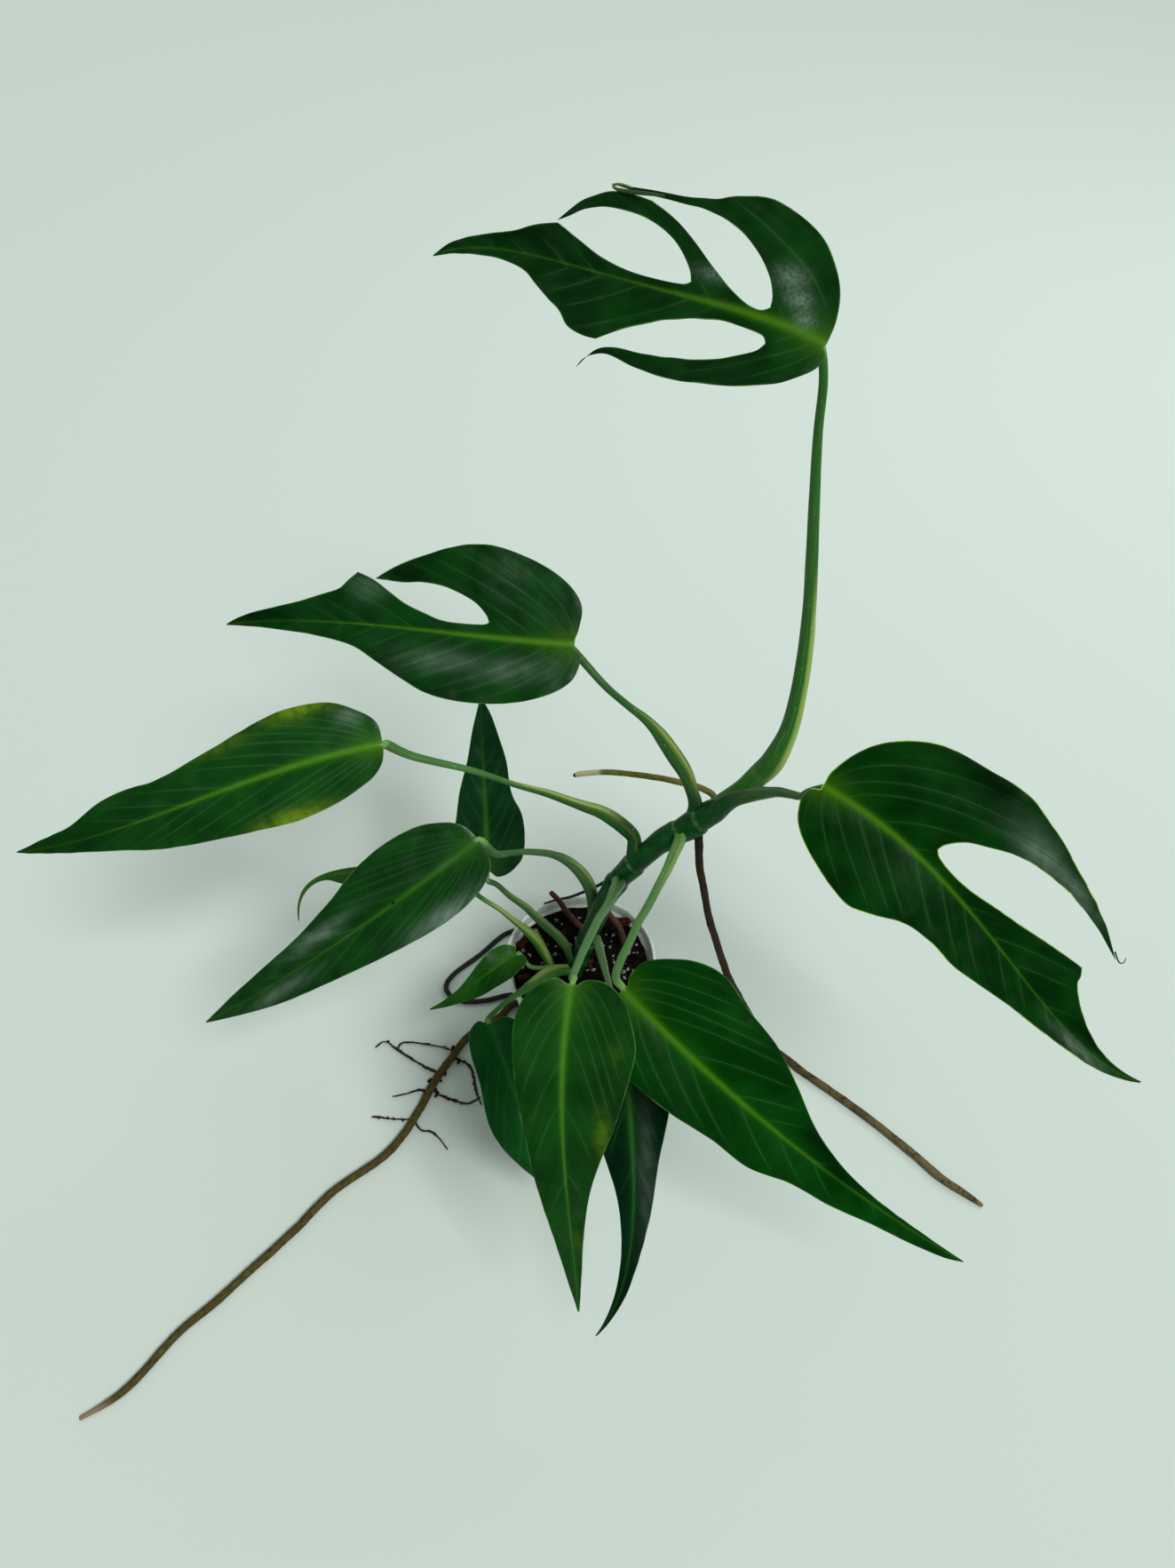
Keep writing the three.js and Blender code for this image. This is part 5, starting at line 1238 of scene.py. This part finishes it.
fit(soil(), earthy("damp peat mix", "#050403", "#16110e", 2.4, 0.95, 0.9), "soil", "soil")
crumb_kinds = [grain(n, 1, 0.9, (1.2, 0.9, 0.8)) for n in range(4)]
perlite_kinds = [grain(n + 7, 2, 0.7, (1.0, 0.85, 0.8)) for n in range(4)]
chip_kinds = [chip(n) for n in range(4)]
crumbs = heap("soil_crumbs", crumb_kinds, strewn(420, (0.7, 1.9), 45.5, 5, 0.2), 1)
fit(crumbs, earthy("peat crumbs", "#080605", "#251b15", 1.6, 0.95), "soil")
dirt = heap("root_dirt", crumb_kinds, DIRT + clods(60, 9), 2)
fit(dirt, earthy("dry clods", "#1b130d", "#4a3a2b", 1.4, 0.95), "root")
perlite = heap("perlite", perlite_kinds, strewn(85, (0.6, 1.7), 45, 12, 0.3), 3)
fit(perlite, earthy("expanded perlite", "#666b60", "#a8ad9f", 1.2, 0.85, 0.5), "soil")
chips = heap("bark_chips", chip_kinds, strewn(16, (2.0, 4.2), 42, 31, 0.0) + BIG_BARK, 4)
fit(chips, earthy("pine bark", "#24120c", "#583424", 2.2, 0.85, 0.9), "soil")

fit(stem(), stem_rind(), "stem", "stem")
rind = petiole_rind()
for name in LEAVES:
    skin = leaf_skin(f"waxy leaf {name}", {**GREEN, **LOOKS[name]})
    fit(blade(name, {**VEINS, **SIDE_VEINS[name]}), skin, "blade", f"blade_{name}")
    fit(petiole(name), rind, "petiole_pale" if name in "dijg" else "petiole", f"petiole_{name}")

# The first upper finger of leaf A ends in a roll over its neighbour, and leaf D's outer finger in a hook.
ROLL = [(98, -39.6, 0.4, 0.6), (107, -38.6, 0.9, 0.9), (116, -37.4, 1.4, 1.0), (123, -37.2, 1.4, 0.8),
    (126, -38.4, 1.3, 0.6), (122, -39.6, 1.5, 0.6), (115, -39.2, 2.0, 0.5)]
HOOK = [(172, 46.4, 0, 0.5), (177, 45.0, 0, 0.45), (180.5, 44.8, 0, 0.4), (182.5, 46.6, 0, 0.35),
    (181.5, 49, 0, 0.3)]
fit(curl("leaf_a_roll", "a", ROLL), rind, "blade")
fit(curl("leaf_d_hook", "d", HOOK), rind, "blade")

olive = root_bark("olive aerial root", "#1c150c", "#45371f", "#150f09", "#2c2013", 0.985, "#a79a78",
    low="#6d6340", blots=0.52)
ochre = root_bark("ochre ground root", "#2b2611", "#5d5526", "#241a10", "#43331e", 0.94, "#857360")
black = root_bark("dark wiry root", "#191914", "#3a372c", "#12110d", "#2a2720")
russet = root_bark("russet root stub", "#2c1711", "#5c4034", "#1c0e0a", "#4a2a20")
cream = root_bark("greening root", "#4d4a20", "#8a8446", "#3c3418", "#6e6a34", 0.8, "#b9b68c", 0.975)
long_left = root("root_long_left", ROOTS["long_left"], 1.0, knobs=0.1, slim=0.85)
rootlets = [root(f"rootlet_{n}", path, 5.0 + n, 8, 1.0, 0.8, 0.75, 1.0) for n, path in enumerate(ROOTLETS)]
pick(long_left, *rootlets)
bpy.ops.object.join()
fit(long_left, ochre, "root", "root_long_left")
for name, bark, slot, slim in (
    ("rim_left", black, "root_dark", 0.74), ("floor_loop", black, "root_dark", 0.74),
    ("long_right", olive, "root", 1.0), ("back_left", cream, "root", 1.35),
    ("stub_back", russet, "root_dark", 1.0), ("stub_right", russet, "root", 1.0),
):
    fit(root(f"root_{name}", ROOTS[name], 2.0 + len(name), slim=slim), bark, slot, f"root_{name}")
for spare in [*crumb_kinds, *perlite_kinds, *chip_kinds, *TUBES.values()]:
    bpy.data.objects.remove(spare)

bpy.ops.mesh.primitive_plane_add(size=16, location=(0, 0, 0))
floor = bpy.context.object
floor.name = "floor"
floor.data.materials.append(pale_cloth())
floor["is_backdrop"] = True


def lamp(name, kind, energy, colour, place, target):
    """A lamp at its place, turned to its target."""
    data = bpy.data.lights.new(name, kind)
    data.energy, data.color = energy, colour
    made = bpy.data.objects.new(name, data)
    made.location = place
    made.rotation_euler = (Vector(target) - Vector(place)).to_track_quat("-Z", "Y").to_euler()
    bpy.context.scene.collection.objects.link(made)
    return data


# A soft high light from the front right, a weak window at the back right, and even light from all round.
lamp("sky", "SUN", 2.15, (1.0, 0.985, 0.975), (0, 0, 0), (-0.36, 0.46, -0.81)).angle = math.radians(18)
window = lamp("window", "AREA", 8, (0.97, 1.0, 1.0), (1.2, 1.0, 1.5), (0, 0, 0.2))
window.shape, window.size = "DISK", 0.9
world = bpy.data.worlds.new("studio")
bpy.context.scene.world = world
world.use_nodes = True
backdrop = world.node_tree.nodes["Background"]
backdrop.inputs["Color"].default_value = (0.9, 0.95, 0.93, 1)
backdrop.inputs["Strength"].default_value = 0.42
bpy.context.scene.view_settings.view_transform = "Standard"

# The focal length in pixels, on a side of so many pixels and a film of so many millimetres.
FOCAL, SIDE, FILM = 1300, 1765, 36
camera_data = bpy.data.cameras.new("camera")
camera_data.sensor_width, camera_data.lens = FILM, FILM * FOCAL / SIDE
camera_data.clip_start, camera_data.clip_end = 0.01, 50
camera = bpy.data.objects.new("camera", camera_data)
camera.location = (0.005, -0.424, 0.785)
camera.rotation_euler = (math.radians(40), 0, 0)
bpy.context.scene.collection.objects.link(camera)
bpy.context.scene.camera = camera

dressed_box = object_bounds()
boxes = {"cad": cad_box, "dressed": dressed_box}
{name: [[float(c) for c in corner] for corner in box] for name, box in boxes.items()}
